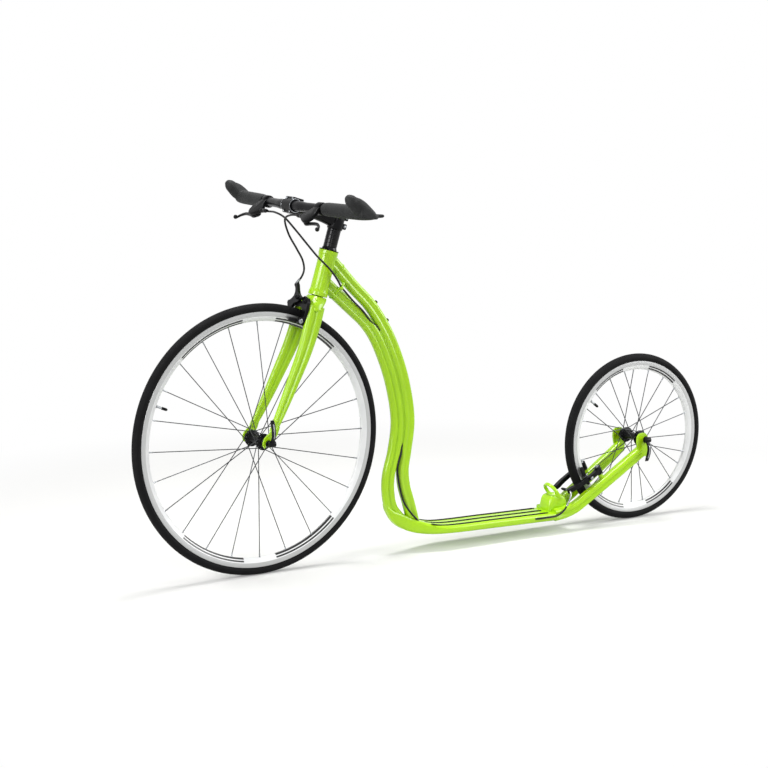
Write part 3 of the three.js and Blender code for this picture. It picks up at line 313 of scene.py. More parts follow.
def curve_through(points, count, closed=False):
    """A smooth line through the points, which may have any number of coordinates."""
    p = np.array(points, float)
    if closed:
        p = np.vstack([p[-1:], p, p[:2]])
    else:
        p = np.vstack([2 * p[0] - p[1], p, 2 * p[-1] - p[-2]])
    t = np.linspace(0, 1, 97)[:-1, None]
    pieces = []
    for a, b, c, d in zip(p, p[1:], p[2:], p[3:]):
        d0, d1, d2 = (max(np.linalg.norm(v) ** 0.5, 1e-3) for v in (b - a, c - b, d - c))
        m1 = ((b - a) / d0 - (c - a) / (d0 + d1) + (c - b) / d1) * d1
        m2 = ((c - b) / d1 - (d - b) / (d1 + d2) + (d - c) / d2) * d1
        pieces.append((2 * t**3 - 3 * t**2 + 1) * b + (t**3 - 2 * t**2 + t) * m1
                      + (3 * t**2 - 2 * t**3) * c + (t**3 - t**2) * m2)
    if closed:
        return spaced(np.vstack(pieces + [p[1:2]]), count + 1)[:-1]
    return spaced(np.vstack(pieces + [p[-2:-1]]), count)


def unit(v):
    v = np.asarray(v, float)
    return v / np.linalg.norm(v)


def across(axis):
    """Two directions square to an axis and to each other."""
    axis = unit(axis)
    helper = np.array([0, 1, 0]) if abs(axis[1]) < 0.9 else np.array([1, 0, 0])
    first = unit(np.cross(helper, axis))
    return first, np.cross(axis, first)


def lofted(rings, looped=False):
    """A closed skin over equal rings. A looped one runs from its last ring back to its first."""
    rings = [np.asarray(ring, float) for ring in rings]
    rows, count = len(rings), len(rings[0])
    faces = []
    for r in range(rows if looped else rows - 1):
        low, high = r * count, (r + 1) % rows * count
        faces += [(low + i, low + (i + 1) % count, high + (i + 1) % count, high + i) for i in range(count)]
    if not looped:
        faces += [tuple(range(count)), tuple(range((rows - 1) * count, rows * count))]
    return np.vstack(rings), faces


def turned(profile, centre, axis, sides=48):
    """A turned part. The profile holds (radius, distance along the axis) and closes on itself."""
    a, b = across(axis)
    axis = unit(axis)
    rings = []
    for k in range(sides):
        spin = 2 * math.pi * k / sides
        out = math.cos(spin) * a + math.sin(spin) * b
        rings.append([np.asarray(centre) + r * out + h * axis for r, h in profile])
    return lofted(rings, looped=True)


def rod(start, end, radius, end_radius=None, sides=24, rounding=0.0):
    """A round bar between two points, with rounded edges if asked."""
    start, end = np.asarray(start, float), np.asarray(end, float)
    long = np.linalg.norm(end - start)
    far = radius if end_radius is None else end_radius
    e = rounding
    profile = [(0, 0), (radius - e, 0), (radius - 0.3 * e, 0.3 * e), (radius, e),
               (far, long - e), (far - 0.3 * e, long - 0.3 * e), (far - e, long), (0, long)]
    return turned(profile, start, end - start, sides)


def swept(line, radii, sides=16, flat=(1.0, 1.0), lean=None):
    """A bar along a line. flat scales its section two ways; lean is the first of those directions."""
    line = np.asarray(line, float)
    radii = np.broadcast_to(np.asarray(radii, float), len(line))
    tangents = np.gradient(line, axis=0)
    first = across(tangents[0])[0] if lean is None else np.asarray(lean, float)
    rings = []
    for centre, tangent, radius in zip(line, tangents, radii):
        tangent = unit(tangent)
        first = unit(first - np.dot(first, tangent) * tangent)
        second = np.cross(tangent, first)
        spins = [2 * math.pi * k / sides for k in range(sides)]
        rings.append([centre + radius * (flat[0] * math.cos(s) * first + flat[1] * math.sin(s) * second)
                      for s in spins])
    return lofted(rings)


def prism(outline, place, low, high):
    """A plate: outline points (a, b) and two heights, put in place by the function place(a, b, h)."""
    return lofted([[place(a, b, h) for a, b in outline] for h in (low, high)])


def flipped(shape):
    """The same shape on the other side of the bike."""
    points, faces = shape
    return points * [1, -1, 1], [face[::-1] for face in faces]


def joined(shapes):
    points, faces, start = [], [], 0
    for some, theirs in shapes:
        points.append(some)
        faces += [tuple(i + start for i in face) for face in theirs]
        start += len(some)
    return np.vstack(points), faces


# %% [markdown]
# One function turns shapes into an object: it welds the points that coincide, turns the faces
# outwards, smooths what is curved, and softens hard edges with a small bevel where one is asked for.
# It also says which body the piece moves with and which nodes of the imported model it stands for.
# A second one makes a left piece and its mirror image.

# %% From shapes to pieces
def new_mesh(name, shape):
    """A mesh in metres, its points welded and its faces turned outwards."""
    points, faces = shape
    mesh = bpy.data.meshes.new(name)
    mesh.from_pydata((points / 1000).tolist(), [], faces)
    bm = bmesh.new()
    bm.from_mesh(mesh)
    bmesh.ops.remove_doubles(bm, verts=bm.verts, dist=2e-6)
    bmesh.ops.recalc_face_normals(bm, faces=bm.faces)
    bm.to_mesh(mesh)
    bm.free()
    return mesh


def piece(name, shapes, finish, body, stands_for="", edge=0.0, sharp=38):
    mesh = new_mesh(name, joined(shapes))
    made = bpy.data.objects.new(name, mesh)
    bpy.context.scene.collection.objects.link(made)
    mesh.materials.append(finish)
    mesh.shade_smooth()
    if edge:
        soft = made.modifiers.new("edge_break", "BEVEL")
        soft.width, soft.segments, soft.limit_method = edge / 1000, 2, "ANGLE"
        soft.angle_limit = math.radians(sharp)
        soft.harden_normals = True
    else:
        mesh.set_sharp_from_angle(angle=math.radians(sharp))
    if body:
        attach(made, body)
    if stands_for:
        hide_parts(*stands_for.split())
    return made


def pair(name, shapes, finish, body, stands_for="", **more):
    """One piece on each side of the bike. Its side takes the place of the star in each name."""
    made = []
    for side, mine in (("left", shapes), ("right", [flipped(shape) for shape in shapes])):
        mine_name, mine_body, node = (text.replace("*", side) for text in (name, body, stands_for))
        made.append(piece(mine_name, mine, finish, mine_body, node, **more))
    return made


def carve(made, shape):
    """Takes a shape out of a piece that has no bevel yet, and finds its sharp edges again."""
    tool = bpy.data.objects.new("tool", new_mesh("tool", shape))
    bpy.context.scene.collection.objects.link(tool)
    step = made.modifiers.new("carve", "BOOLEAN")
    step.operation, step.solver, step.object = "DIFFERENCE", "EXACT", tool
    bpy.context.view_layer.update()
    seen = made.evaluated_get(bpy.context.evaluated_depsgraph_get())
    whole, made.data = made.data, bpy.data.meshes.new_from_object(seen)
    made.modifiers.remove(step)
    bpy.data.meshes.remove(whole)
    bpy.data.objects.remove(tool)
    made.data.set_sharp_from_angle(angle=math.radians(38))


# %% [markdown]
# The steering parts are drawn in steering coordinates: forward of the steering axis, to the left,
# and up from the crown race. The axis leans back by 17 degrees.

# %% Steering coordinates
CROWN_RACE = np.array([355.9, 0.0, 678.8])
LEAN = math.radians(17)
FORWARD = np.array([math.cos(LEAN), 0, math.sin(LEAN)])
LEFT = np.array([0.0, 1, 0])
UP = np.array([-math.sin(LEAN), 0, math.cos(LEAN)])


def steer(forward, left, up):
    return CROWN_RACE + forward * FORWARD + left * LEFT + up * UP


def on_steerer(profile, sides=64):
    """A part turned round the steering axis."""
    return turned(profile, CROWN_RACE, UP, sides)


# %% [markdown]
# Brake cables come first, because their routes decide what fits beside them. The housing is 5 mm
# across and stiff, so it never bends tightly. Each one is a tube swept along its own smooth route,
# and its length is measured and printed.

# %% Brake cables
CABLE_RADIUS = 2.5
FRONT_CABLE = [
    [449.4, 96.8, 886.2], [449, 75, 886.5], [452, 42, 885], [450, 10, 873], [432, -6, 836], [403, -17, 796],
    [382, -25, 765], [377, -28, 742], [385, -26.6, 725], [394.7, -25.6, 716],
]
REAR_LOOP = [
    [449.4, -96.8, 886.2], [448, -78, 885.5], [450, -40, 886], [444, -4, 876], [427, 18, 848], [403, 29, 815],
    [373, 32, 780], [336, 31, 745], [314, 26, 719], [298.4, 18.7, 698.5],
]


def cable(name, route, count, body, stands_for):
    line = curve_through(route, count)
    made = piece(name, [swept(line, CABLE_RADIUS, 16)], housing_pvc, body, stands_for)
    path, length = line / 1000, float(np.linalg.norm(np.diff(line, axis=0), axis=1).sum()) / 1000
    print(name, round(length, 3), "m")
    return made, path


front_path = cable("front_brake_housing", FRONT_CABLE, 90, "steering", "front_brake_cable")[1]
rear_loop, loop_path = cable("rear_brake_housing_loop", REAR_LOOP, 100, None, "rear_brake_cable_loop")
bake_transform(rear_loop)

# %% [markdown]
# Both frame tubes have two round lobes with a valley along each side between them, less deep on the
# upper one. The wall of the rear lobe catches the light as a long bright line and the valley stays
# dark, so both are real geometry here. The tubes lie against each other for half of their length.

# %% Frame tubes
TUBE_SIDE = [(-16, 4.6), (-15, 7.7), (-12.8, 10.5), (-10, 12), (-7.2, 12.5), (-4.8, 12.1), (-2.5, 10.9),
             (-0.4, 9.3), (1.2, 8.5), (2.6, 9), (4.6, 10.6), (7.2, 11.7), (9.8, 11.1), (12.8, 9.2), (15, 6.8),
             (16, 4.4)]
FILLED_BY, VALLEY_MIDDLE, VALLEY_WIDTH = 1.9, 1, 3.4  # the upper tube's valley is less deep
SHALLOW_SIDE = [(u, v + FILLED_BY * math.exp(-((u - VALLEY_MIDDLE) / VALLEY_WIDTH) ** 2))
                for u, v in TUBE_SIDE]
TUBE_OUTLINE, UPPER_OUTLINE = [curve_through(side + [(u, -v) for u, v in side[::-1]], 112, closed=True)
                               for side in (TUBE_SIDE, SHALLOW_SIDE)]
LOWER_TOP = [(335, 710), (314, 690), (257, 639), (222, 607)]
LOWER_TOUCH = [(195, 572), (169, 520), (142, 442), (126, 345), (136, 266)]
LOWER_LINE = LOWER_TOP + LOWER_TOUCH + [(152, 206), (154, 167), (144, 120), (113, 81)]
TOUCH_SPACING = 33.2


def beside(line, spots, spacing):
    """Points at that spacing behind a line, next to the spots that are given."""
    fine = curve_through(line, 400)
    slope = np.gradient(fine, axis=0)
    found = []
    for spot in spots:
        i = int(np.argmin(np.linalg.norm(fine - spot, axis=1)))
        along = unit(slope[i])
        found.append((spot[0] + along[1] * spacing, spot[1] - along[0] * spacing))
    return found


UPPER_LINE = [(327, 774), (311, 757), (258, 699), (205, 645)]
UPPER_LINE += beside(LOWER_LINE, LOWER_TOUCH, TOUCH_SPACING)
UPPER_LINE += [(110, 221), (107, 178), (93, 130), (74, 62)]


def tube(line, count, outline=TUBE_OUTLINE):
    """A tube along (x, z) or (x, z, y) points, its section upright in the plane of the bike."""
    line = curve_through([(*p, 0)[:3] for p in line], count)
    slopes = np.gradient(line, axis=0)
    rings = []
    for (x, z, y), slope in zip(line, slopes):
        depth = unit((-slope[1], 0, slope[0]))
        rings.append([np.array([x, y, z]) + u * depth + [0, v, 0] for u, v in outline])
    return lofted(rings)


head_bore = rod(steer(0, 0, -12), steer(0, 0, 126), 20.5, sides=64)
for word, line, outline in (("upper", UPPER_LINE, UPPER_OUTLINE), ("lower", LOWER_LINE, TUBE_OUTLINE)):
    shape = tube(line, 240, outline)
    carve(piece(f"{word}_frame_tube", [shape], lime_powder_coat, "frame", f"{word}_tube"), head_bore)
seam_spots = beside(LOWER_LINE, LOWER_TOUCH, TOUCH_SPACING / 2)
SEAM_SIDE = 5.6
seam_lines = [curve_through([(x, y, z) for x, z in seam_spots], 80) for y in (-SEAM_SIDE, SEAM_SIDE)]
piece("tube_seam_weld", [swept(line, 3.4, 12) for line in seam_lines], lime_powder_coat, "frame")
print("upper tube leaves the head tube at", UPPER_LINE[0])

# %% [markdown]
# The head tube is turned from thick pipe. Both its ends flare a little where they take a bearing, and
# a fine line parts it from the fork crown. Fillet welds join the two tubes to it.

# %% Head tube
HEAD_LENGTH = 114.6
head_profile = [(17, 0.8), (23.2, 0.8), (24, 1.6), (24, 9), (23.6, 11.5), (22.3, 15.5), (22, 18)]
head_profile += [(r, HEAD_LENGTH - h) for r, h in ((22, 20), (22.4, 15), (23.6, 10), (24, 8), (24, 0.8),
                                                   (23.2, 0), (17, 0))]
piece("head_tube_shell", [on_steerer(head_profile, 72)], lime_powder_coat, "frame",
      "head_tube headset_bearing_lower headset_bearing_upper")
WELD_REACH, BEAD = 22.6, 1.9


def weld_round(line, at=14):
    """A weld bead where a frame tube meets the head tube: the tube's outline pushed on to the pipe."""
    fine = curve_through([(*p, 0)[:3] for p in line], 150)
    (x, z, y), slope = fine[at], unit(fine[at + 1] - fine[at - 1])
    depth = np.array([-slope[1], 0, slope[0]])
    along = np.array([slope[0], 0, slope[1]])
    points = []
    for u, v in TUBE_OUTLINE:
        start = np.array([x, y, z]) + u * depth + [0, v, 0]
        for step in range(60):
            spot = start - along * (step - 30)
            local = spot - CROWN_RACE
            if math.hypot(local @ FORWARD, local[1]) < WELD_REACH:
                break
        points.append(spot)
    ring = np.array(points + points[:1])
    return swept(spaced(ring, 120), BEAD, 8)


piece("head_tube_welds", [weld_round(UPPER_LINE), weld_round(LOWER_LINE)], lime_powder_coat, "frame")

# %% [markdown]
# The footboard is one long flat tube. It narrows and rises at its nose to meet the lower tube, and the
# two run into each other without a step. Its section is a rounded rectangle that changes along the way.

# %% Footboard
# x and z of the middle, half width, thickness, lean in degrees
DECK_STATIONS = [
    (163, 130.5, 9.5, 1.6, -66), (155.5, 118.6, 12.9, 11, -58), (140.8, 102.8, 14, 24, -49),
    (121.6, 88.4, 15.6, 34, -38), (99, 75.3, 19, 35, -27), (79, 67.2, 24.5, 33.4, -20),
    (58, 61.4, 31, 30.2, -14), (34, 56.8, 38, 25.6, -7), (0, 53.2, 46, 21, -2), (-160, 49.2, 46, 21, -1.2),
    (-345, 45.6, 46, 21, 0),
]


def rounded_rectangle(half_width, half_height, corner, steps=6):
    outline = []
    for k in range(4):
        quarter = k * math.pi / 2
        cx = (half_width - corner) * (1 if k in (0, 3) else -1)
        cy = (half_height - corner) * (1 if k in (0, 1) else -1)
        for s in range(steps + 1):
            angle = quarter + s * math.pi / 2 / steps
            outline.append((cx + corner * math.cos(angle), cy + corner * math.sin(angle)))
    return outline


def deck_ring(x, z, half_width, thickness, lean_degrees):
    half = thickness / 2
    corner = min(half * 0.9, half_width * 0.7, 8.5)
    lean = math.radians(lean_degrees)
    return [(x + u * math.sin(lean), v, z + u * math.cos(lean))
            for v, u in rounded_rectangle(half_width, half, corner)]


deck_line = curve_through(DECK_STATIONS, 120)
piece("footboard", [lofted([deck_ring(*station) for station in deck_line])], lime_powder_coat, "frame",
      "deck")
DECK_TOP = sorted((x + t / 2 * math.sin(math.radians(a)), z + t / 2 * math.cos(math.radians(a)))
                  for x, z, w, t, a in deck_line if x < 70)


def deck_height(x):
    return float(np.interp(x, *np.array(DECK_TOP).T))


STRIP_START, STRIP_END, STRIP_HALF = 42, -328, 5.2
strips = []
for y in (-32, 0, 32):
    rings = []
    for x in np.linspace(STRIP_START, STRIP_END, 90):
        z = deck_height(x)
        from_end = min(STRIP_START - x, x - STRIP_END, STRIP_HALF)
        half = math.sqrt(1.01 * STRIP_HALF**2 - (STRIP_HALF - from_end) ** 2)
        rings.append([(x, y - half, z - 0.4), (x, y + half, z - 0.4), (x, y + half - 0.3, z + 0.9),
                      (x, y - half + 0.3, z + 0.9)])
    strips.append(lofted(rings))
piece("grip_strips", strips, grit_tape, "frame")
print("footboard top at", round(deck_height(-100), 1), "mm")

# %% [markdown]
# Behind the board, two stays run out to the rear hub. Each is the same grooved section, swept along a
# line that also bends outwards and up, and it ends in a thick plate with a slot for the axle.

# %% Rear stays
# x, z, y
STAY_LINE = [(-345.6, 48.6, 33.4), (-375, 51.6, 33.6), (-412, 62, 34.2), (-453, 85.5, 35.6),
             (-510, 120.5, 38.6), (-563, 154, 41.6), (-626, 194, 44.5)]
DROPOUT_INNER, DROPOUT_OUTER = 50.0, 55.6


def upright(x, z, y):
    """Places an outline drawn in side view."""
    return np.array([x, y, z])


def rounded_outline(points, radius, steps=5):
    """An outline with each of its corners rounded."""
    points = [np.array(p, float) for p in points]
    made = []
    for before, corner, after in zip(points[-1:] + points[:-1], points, points[1:] + points[:1]):
        to_before, to_after = before - corner, after - corner
        reach = min(radius, np.linalg.norm(to_before) * 0.45, np.linalg.norm(to_after) * 0.45)
        start, end = corner + unit(to_before) * reach, corner + unit(to_after) * reach
        for s in np.linspace(0, 1, steps):
            made.append((1 - s) ** 2 * start + 2 * s * (1 - s) * corner + s**2 * end)
    return [tuple(p) for p in made]


rear_plate = [(-10, -48), (6, -46), (25, -27), (29, -6), (28, 9), (22, 16), (12, 18.4), (1, 17.6), (-5, 11),
              (-7.4, 6.4), (-5.6, 5.3), (0, 5.3), (5.3, 2), (5.3, -2), (0, -5.3), (-7.6, -6.4), (-13.5, -20)]
rear_plate = rounded_outline([(HUBS["rear"][0] + a, HUBS["rear"][2] + b) for a, b in rear_plate], 3)
dropout = prism(rear_plate, upright, DROPOUT_INNER, DROPOUT_OUTER)
pair("*_stay", [tube(STAY_LINE, 110)], lime_powder_coat, "frame", "rear_stay_*")
pair("*_rear_dropout", [dropout], lime_powder_coat, "frame", edge=1.0)
print("stays end", STAY_LINE[-1][2], "mm from the middle")

# %% [markdown]
# Between the stays stands a cast bracket. It tapers upwards with well rounded edges and carries an open
# ring, tilted back, for a strap or a lock.

# %% Rear bracket
RING_CENTRE = np.array([-361.0, 0, 107])
RING_AXIS = unit((-0.82, 0, 0.57))
# height, half width, front, back
bracket_levels = [(50, 25.5, -336, -398), (62, 25.8, -335.6, -397.6), (78, 25.2, -338, -396),
                  (90, 23.4, -341.5, -391), (96, 21, -346, -386), (98.2, 17, -351, -380)]
bracket_rings = []
for z, half, front, back in curve_through(bracket_levels, 26):
    middle, reach = (front + back) / 2, (front - back) / 2
    corner = min(half, reach) * 0.42
    bracket_rings.append([(middle + a, b, z) for a, b in rounded_rectangle(reach, half, corner)])
RING_UP = np.cross(LEFT, RING_AXIS)
RING_UP = RING_UP * np.sign(RING_UP[2])
eye_rings = []
for angle in np.linspace(0, 2 * math.pi, 96, endpoint=False):
    c, s = math.cos(angle), math.sin(angle)
    outer = 26.0 if s >= 0 else min((25.8 + 1.6 * s) / max(abs(c), 1e-6), 25 / max(-s, 1e-6))
    section = [(21.4, -3.4), (22.4, -4.6), (outer - 1, -4.6), (outer, -3.6), (outer, 3.6), (outer - 1, 4.6),
               (22.4, 4.6), (21.4, 3.4)]
    eye_rings.append([RING_CENTRE + r * (c * LEFT + s * RING_UP) + h * RING_AXIS for r, h in section])
bracket = piece("rear_bracket_casting", [lofted(bracket_rings)], lime_powder_coat, "frame", "rear_bracket")
carve(bracket, rod(RING_CENTRE - RING_AXIS * 9, RING_CENTRE + RING_AXIS * 9, 21.4, sides=64))
piece("bracket_ring", [lofted(eye_rings, looped=True)], lime_powder_coat, "frame", sharp=50)
print("ring", RING_CENTRE.tolist())

# %% [markdown]
# The fork: a cast crown with arched shoulders, and two straight blades of the grooved section that
# taper towards the hub. A crown drawn level by level, as rounded rings, flows into both blades.

# %% Fork
# height, forward, depth, offset, width
BLADE_STATIONS = [
    (-26, 13.2, 44.6, 29.4, 22.4), (-60, 13.6, 43.4, 32.8, 21.9), (-103, 15.4, 40, 35.6, 21.5),
    (-148, 20, 36.6, 38.8, 21), (-188, 26.6, 33.8, 41.4, 20), (-225, 33, 30.6, 43.6, 19),
    (-259, 38.8, 27.4, 45.6, 18), (-290, 44.6, 24.2, 47.4, 17), (-320, 50.8, 21, 49.4, 15.6),
    (-348, 57.2, 17, 51.4, 14),
]
blade_rings = [[steer(forward + u * depth / 32, offset + v * width / 25, height) for u, v in TUBE_OUTLINE]
               for height, forward, depth, offset, width in curve_through(BLADE_STATIONS, 110)]
pair("*_fork_blade", [lofted(blade_rings)], lime_powder_coat, "steering", "fork_blade_*")

HUB_FORWARD = float((np.array(HUBS["front"]) - CROWN_RACE) @ FORWARD)
HUB_UP = float((np.array(HUBS["front"]) - CROWN_RACE) @ UP)


def fork_plane(forward, up, left):
    return steer(HUB_FORWARD + forward, left, HUB_UP + up)


front_plate = [(-20, 46), (-6, 46), (-2, 34), (2, 26), (8, 18), (12.7, 10.8), (14.2, 3), (13.4, -5),
               (9.4, -12), (5.4, -14.6), (5.4, 0), (3, 4.6), (-3, 4.6), (-5.4, 0), (-5.4, -9), (-8, -9.5),
               (-12, -3), (-13, 10), (-19, 26)]
dropout = prism(rounded_outline(front_plate, 2.5), fork_plane, 50.0, 55.4)
pair("*_fork_dropout", [dropout], lime_powder_coat, "steering", edge=1.0)

crown_levels = [(-1.2, 0, 21.6, 21.6), (-3, 0.2, 22.4, 23.2), (-7, 1.6, 23.2, 27), (-12, 4.8, 24, 31.8),
                (-18, 8.6, 24.2, 36.4), (-25, 11.4, 24, 40), (-33, 12.6, 23.4, 42.4), (-38, 13, 22.8, 42.8)]
crown_rings = []
for height, forward, half_depth, half_width in curve_through(crown_levels, 30):
    ring = []
    for k in range(72):
        c, s = math.cos(2 * math.pi * k / 72), math.sin(2 * math.pi * k / 72)
        ring.append(steer(forward + half_depth * math.copysign(abs(c) ** 0.8, c),
                          half_width * math.copysign(abs(s) ** 0.8, s), height))
    crown_rings.append(ring)
crown = piece("fork_crown_casting", [lofted(crown_rings)], lime_powder_coat, "steering", "fork_crown")
carve(crown, rod(steer(-50, 0, -49), steer(70, 0, -49), 18.8, sides=64))
flat_face = [(30.6, -60), (60, -60), (60, 60), (30.6, 60)]
carve(crown, lofted([[steer(f, y, up) for f, y in flat_face] for up in (-60, 0.5)]))
steerer = on_steerer([(12, -8), (14.3, -8), (14.3, 211), (12, 211)], 48)
piece("steerer", [steerer], black_anodised, "steering")
print("front hub in steering coordinates", round(HUB_FORWARD, 1), round(HUB_UP, 1))

# %% [markdown]
# Above the head tube come the headset cover, a long stack of spacers and the stem. They are turned
# and forged aluminium, dyed black, so small chamfers are what tells one ring from the next.

# %% Headset and spacers
STEM_BASE, STEM_TOP = 168.9, 214.9
STEM_REACH, BAR_HEIGHT = 134, 195.5
LUG_HEIGHT = 16.6  # of the faceplate's bolts above and below the bar
cup_profile = [(16, 114.9), (24.2, 114.9), (24.6, 115.3), (24.6, 116.2), (24, 116.8), (16, 117)]
piece("headset_cup", [on_steerer(cup_profile)], black_anodised, "frame", "headset_cup_upper")
cover_profile = [(14.8, 117.4), (18.6, 117.4), (19, 117.8), (18.8, 119), (17.6, 122.4), (17.2, 123.4),
                 (14.8, 123.5)]
piece("headset_cover", [on_steerer(cover_profile)], black_polished, "steering", "headset_top_cover")
stack = []
for low, high in ((123.9, 133.4), (133.7, 143.3), (143.6, 153.2), (153.5, 163.1), (163.4, 168.5)):
    stack.append(on_steerer([(14.9, low), (16.6, low), (17, low + 0.5), (17, high - 0.5), (16.6, high),
                             (14.9, high)]))
piece("spacer_stack", stack, black_polished, "steering", "headset_spacers")
print(len(stack), "spacers")

# %% [markdown]
# The stem is a forging: a round clamp on the steerer, a neck, and a clamp round the bar, closed by a
# faceplate with four bolts. Two more bolts pinch it on the steerer. Socket heads get their hexagon.

# %% Stem
def socket_bolt(seat, direction, radius, height):
    """A socket head: a short cylinder with a hexagonal hole sunk in it."""
    direction = unit(direction)
    top = np.asarray(seat, float) + direction * height
    a, b = across(direction)
    outer = [(math.cos(2 * math.pi * k / 24), math.sin(2 * math.pi * k / 24)) for k in range(24)]
    hexagon = [(0.5 * outer[k // 4 * 4][0], 0.5 * outer[k // 4 * 4][1]) for k in range(24)]
    rows = [(outer, 1.0, -height), (outer, 1.0, -0.35), (outer, 0.86, 0.0), (hexagon, 1.0, 0.0),
            (hexagon, 0.96, -0.55 * height)]
    rings = [[top + radius * s * (u * a + v * b) + direction * h for u, v in shape] for shape, s, h in rows]
    return lofted(rings)


stem_shapes = [on_steerer([(14.9, STEM_BASE), (18.6, STEM_BASE), (19.2, STEM_BASE + 0.8),
                           (19.2, STEM_TOP - 0.8), (18.6, STEM_TOP), (14.9, STEM_TOP)])]
# forward, up, half height, half width
neck_stations = [(14, 191.8, 19.5, 16.5), (34, 192.6, 17, 15.6), (62, 193.6, 15.2, 15),
                 (92, 194.6, 14.6, 14.6), (114, 195.2, 15.6, 16.4), (123, 195.4, 16.6, 20)]
neck_turn = np.linspace(0, 2 * math.pi, 48, endpoint=False)
stem_shapes.append(lofted([
    [steer(forward, half_width * math.cos(s), up + half_height * math.sin(s)) for s in neck_turn]
    for forward, up, half_height, half_width in curve_through(neck_stations, 40)]))


def bar_clamp(from_degrees, to_degrees, half_width, outer=17.2, inner=13.2):
    """Part of a ring round the bar, between two angles measured from forward towards up."""
    spins = np.radians(np.linspace(from_degrees, to_degrees, 40))
    outline = [(outer * math.cos(s), outer * math.sin(s)) for s in spins]
    outline += [(inner * math.cos(s), inner * math.sin(s)) for s in spins[::-1]]
    return lofted([[steer(STEM_REACH + a, y, BAR_HEIGHT + b) for a, b in outline]
                   for y in (-half_width, half_width)])


def lug(half_width, half_height, corner, place, low, high):
    """A block with rounded edges: place(a, b, h) puts its section in place."""
    return prism(rounded_rectangle(half_width, half_height, corner), place, low, high)


EAR_HEIGHTS = (STEM_BASE + 12, STEM_TOP - 12)
stem_shapes.append(bar_clamp(91.8, 268.2, 21))
plate_shapes, highlight_rings = [bar_clamp(-88.2, 88.2, 21)], []
for sign in (-1, 1):
    for up in EAR_HEIGHTS:
        def ear(a, b, left, up=up, sign=sign):
            return steer(-20 + a * 0.8, sign * left, up + b * 1.6)

        stem_shapes.append(lug(7.5, 4.4, 3, ear, 1.2, 11))

    def rear_lug(a, b, forward, sign=sign):
        return steer(STEM_REACH + forward, a, BAR_HEIGHT + sign * 16 + b)

    def front_lug(a, b, forward, sign=sign):
        return steer(STEM_REACH + forward, a, BAR_HEIGHT + sign * LUG_HEIGHT + b)

    stem_shapes.append(lug(18.5, 4.2, 2.4, rear_lug, -21, -0.6))
    plate_shapes.append(lug(21, 3.4, 1.5, front_lug, 0.6, 8))
    # Thin bright steel rings at both edges of the faceplate are a painted highlight: they stand in for the
    # light caught along its edges.
    profile = [(15.4, 21.1), (17, 21.1), (17.3, 21.6), (17, 22.2), (15.4, 22.2)]
    highlight_rings.append(turned([(r, sign * h) for r, h in profile], steer(STEM_REACH, 0, BAR_HEIGHT), LEFT, 48))
piece("stem_forging", stem_shapes, black_anodised, "steering", "stem", edge=0.7)
piece("stem_plate", plate_shapes, black_anodised, "steering", "stem_faceplate", edge=0.7)
# The bright rings are a painted highlight on the faceplate's edges.
piece("stem_plate_highlight_rings", highlight_rings, bright_steel, "steering")
cap_profile = [(0, 203), (11.2, 203), (11.2, 215.3), (17.4, 215.3), (18, 215.9), (18, 217.4), (16.6, 219),
               (12, 219.9), (5, 220), (5, 218.6), (0, 218.6)]
piece("stem_cap", [on_steerer(cap_profile)], black_polished, "steering", "stem_top_cap")
bolts = [socket_bolt(steer(STEM_REACH + 8, y, BAR_HEIGHT + s * LUG_HEIGHT), FORWARD, 3.1, 2.4)
         for y in (-14.5, 14.5) for s in (-1, 1)]
bolts += [socket_bolt(steer(-20, 11, up), LEFT, 3.4, 2.6) for up in EAR_HEIGHTS]
bolts.append(socket_bolt(steer(0, 0, 217.6), UP, 4.4, 1.9))
piece("stem_bolts", bolts, bright_steel, "steering")
print(len(bolts), "bolts in the stem")

# %% [markdown]
# The bar is drawn aluminium, thick at the clamp and slimmer towards the ends, swept back a little.

# %% Handlebar
BAR_CENTRE = steer(STEM_REACH, 0, BAR_HEIGHT)
BAR_STRAIGHT, BAR_SWEEP = 45, 0.085786  # where the sweep starts, and how far it goes back for each mm


def bar_point(y, forward=0.0, up=0.0):
    swept_back = max(0.0, abs(y) - BAR_STRAIGHT) * BAR_SWEEP
    return np.array([BAR_CENTRE[0] - swept_back + forward, y, BAR_CENTRE[2] + up])


bar_stations = [(0, 12.7), (42, 12.7), (50, 12.55), (66, 11.3), (74, 11.1), (303, 11.1)]
bar_stations = [(-y, r) for y, r in bar_stations[:0:-1]] + bar_stations
bar_line = [(bar_point(y), r) for y, r in bar_stations]
piece("bar", [swept([p for p, r in bar_line], [r for p, r in bar_line], 48)], black_anodised, "steering",
      "handlebar")
print("bar height", round(BAR_CENTRE[2], 1))

# %% [markdown]
# The grips are one soft moulding: a round core with a wing for the palm, a short horn at the end, a web
# between the two and a small tip behind. They are drawn apart and then remeshed into one skin, which
# blends them as a mould would.

# %% Grips
def grip_ring(y, radius, wing, drop):
    centre = bar_point(y)
    front = [(radius * math.cos(math.radians(d)), radius * math.sin(math.radians(d)))
             for d in (-90, -54, -18, 18, 54, 90)]
    rear = [(-0.45 * wing, radius * 0.86 - drop * 0.3), (-0.8 * wing, radius * 0.5 - drop * 0.7),
            (-0.97 * wing, 3 - drop), (-wing, -1 - drop), (-0.96 * wing, -4 - drop),
            (-0.75 * wing, -radius * 0.45 - drop * 0.75), (-0.42 * wing, -radius * 0.84 - drop * 0.3)]
    return [centre + [x, 0, z] for x, z in curve_through(front + rear, 44, closed=True)]


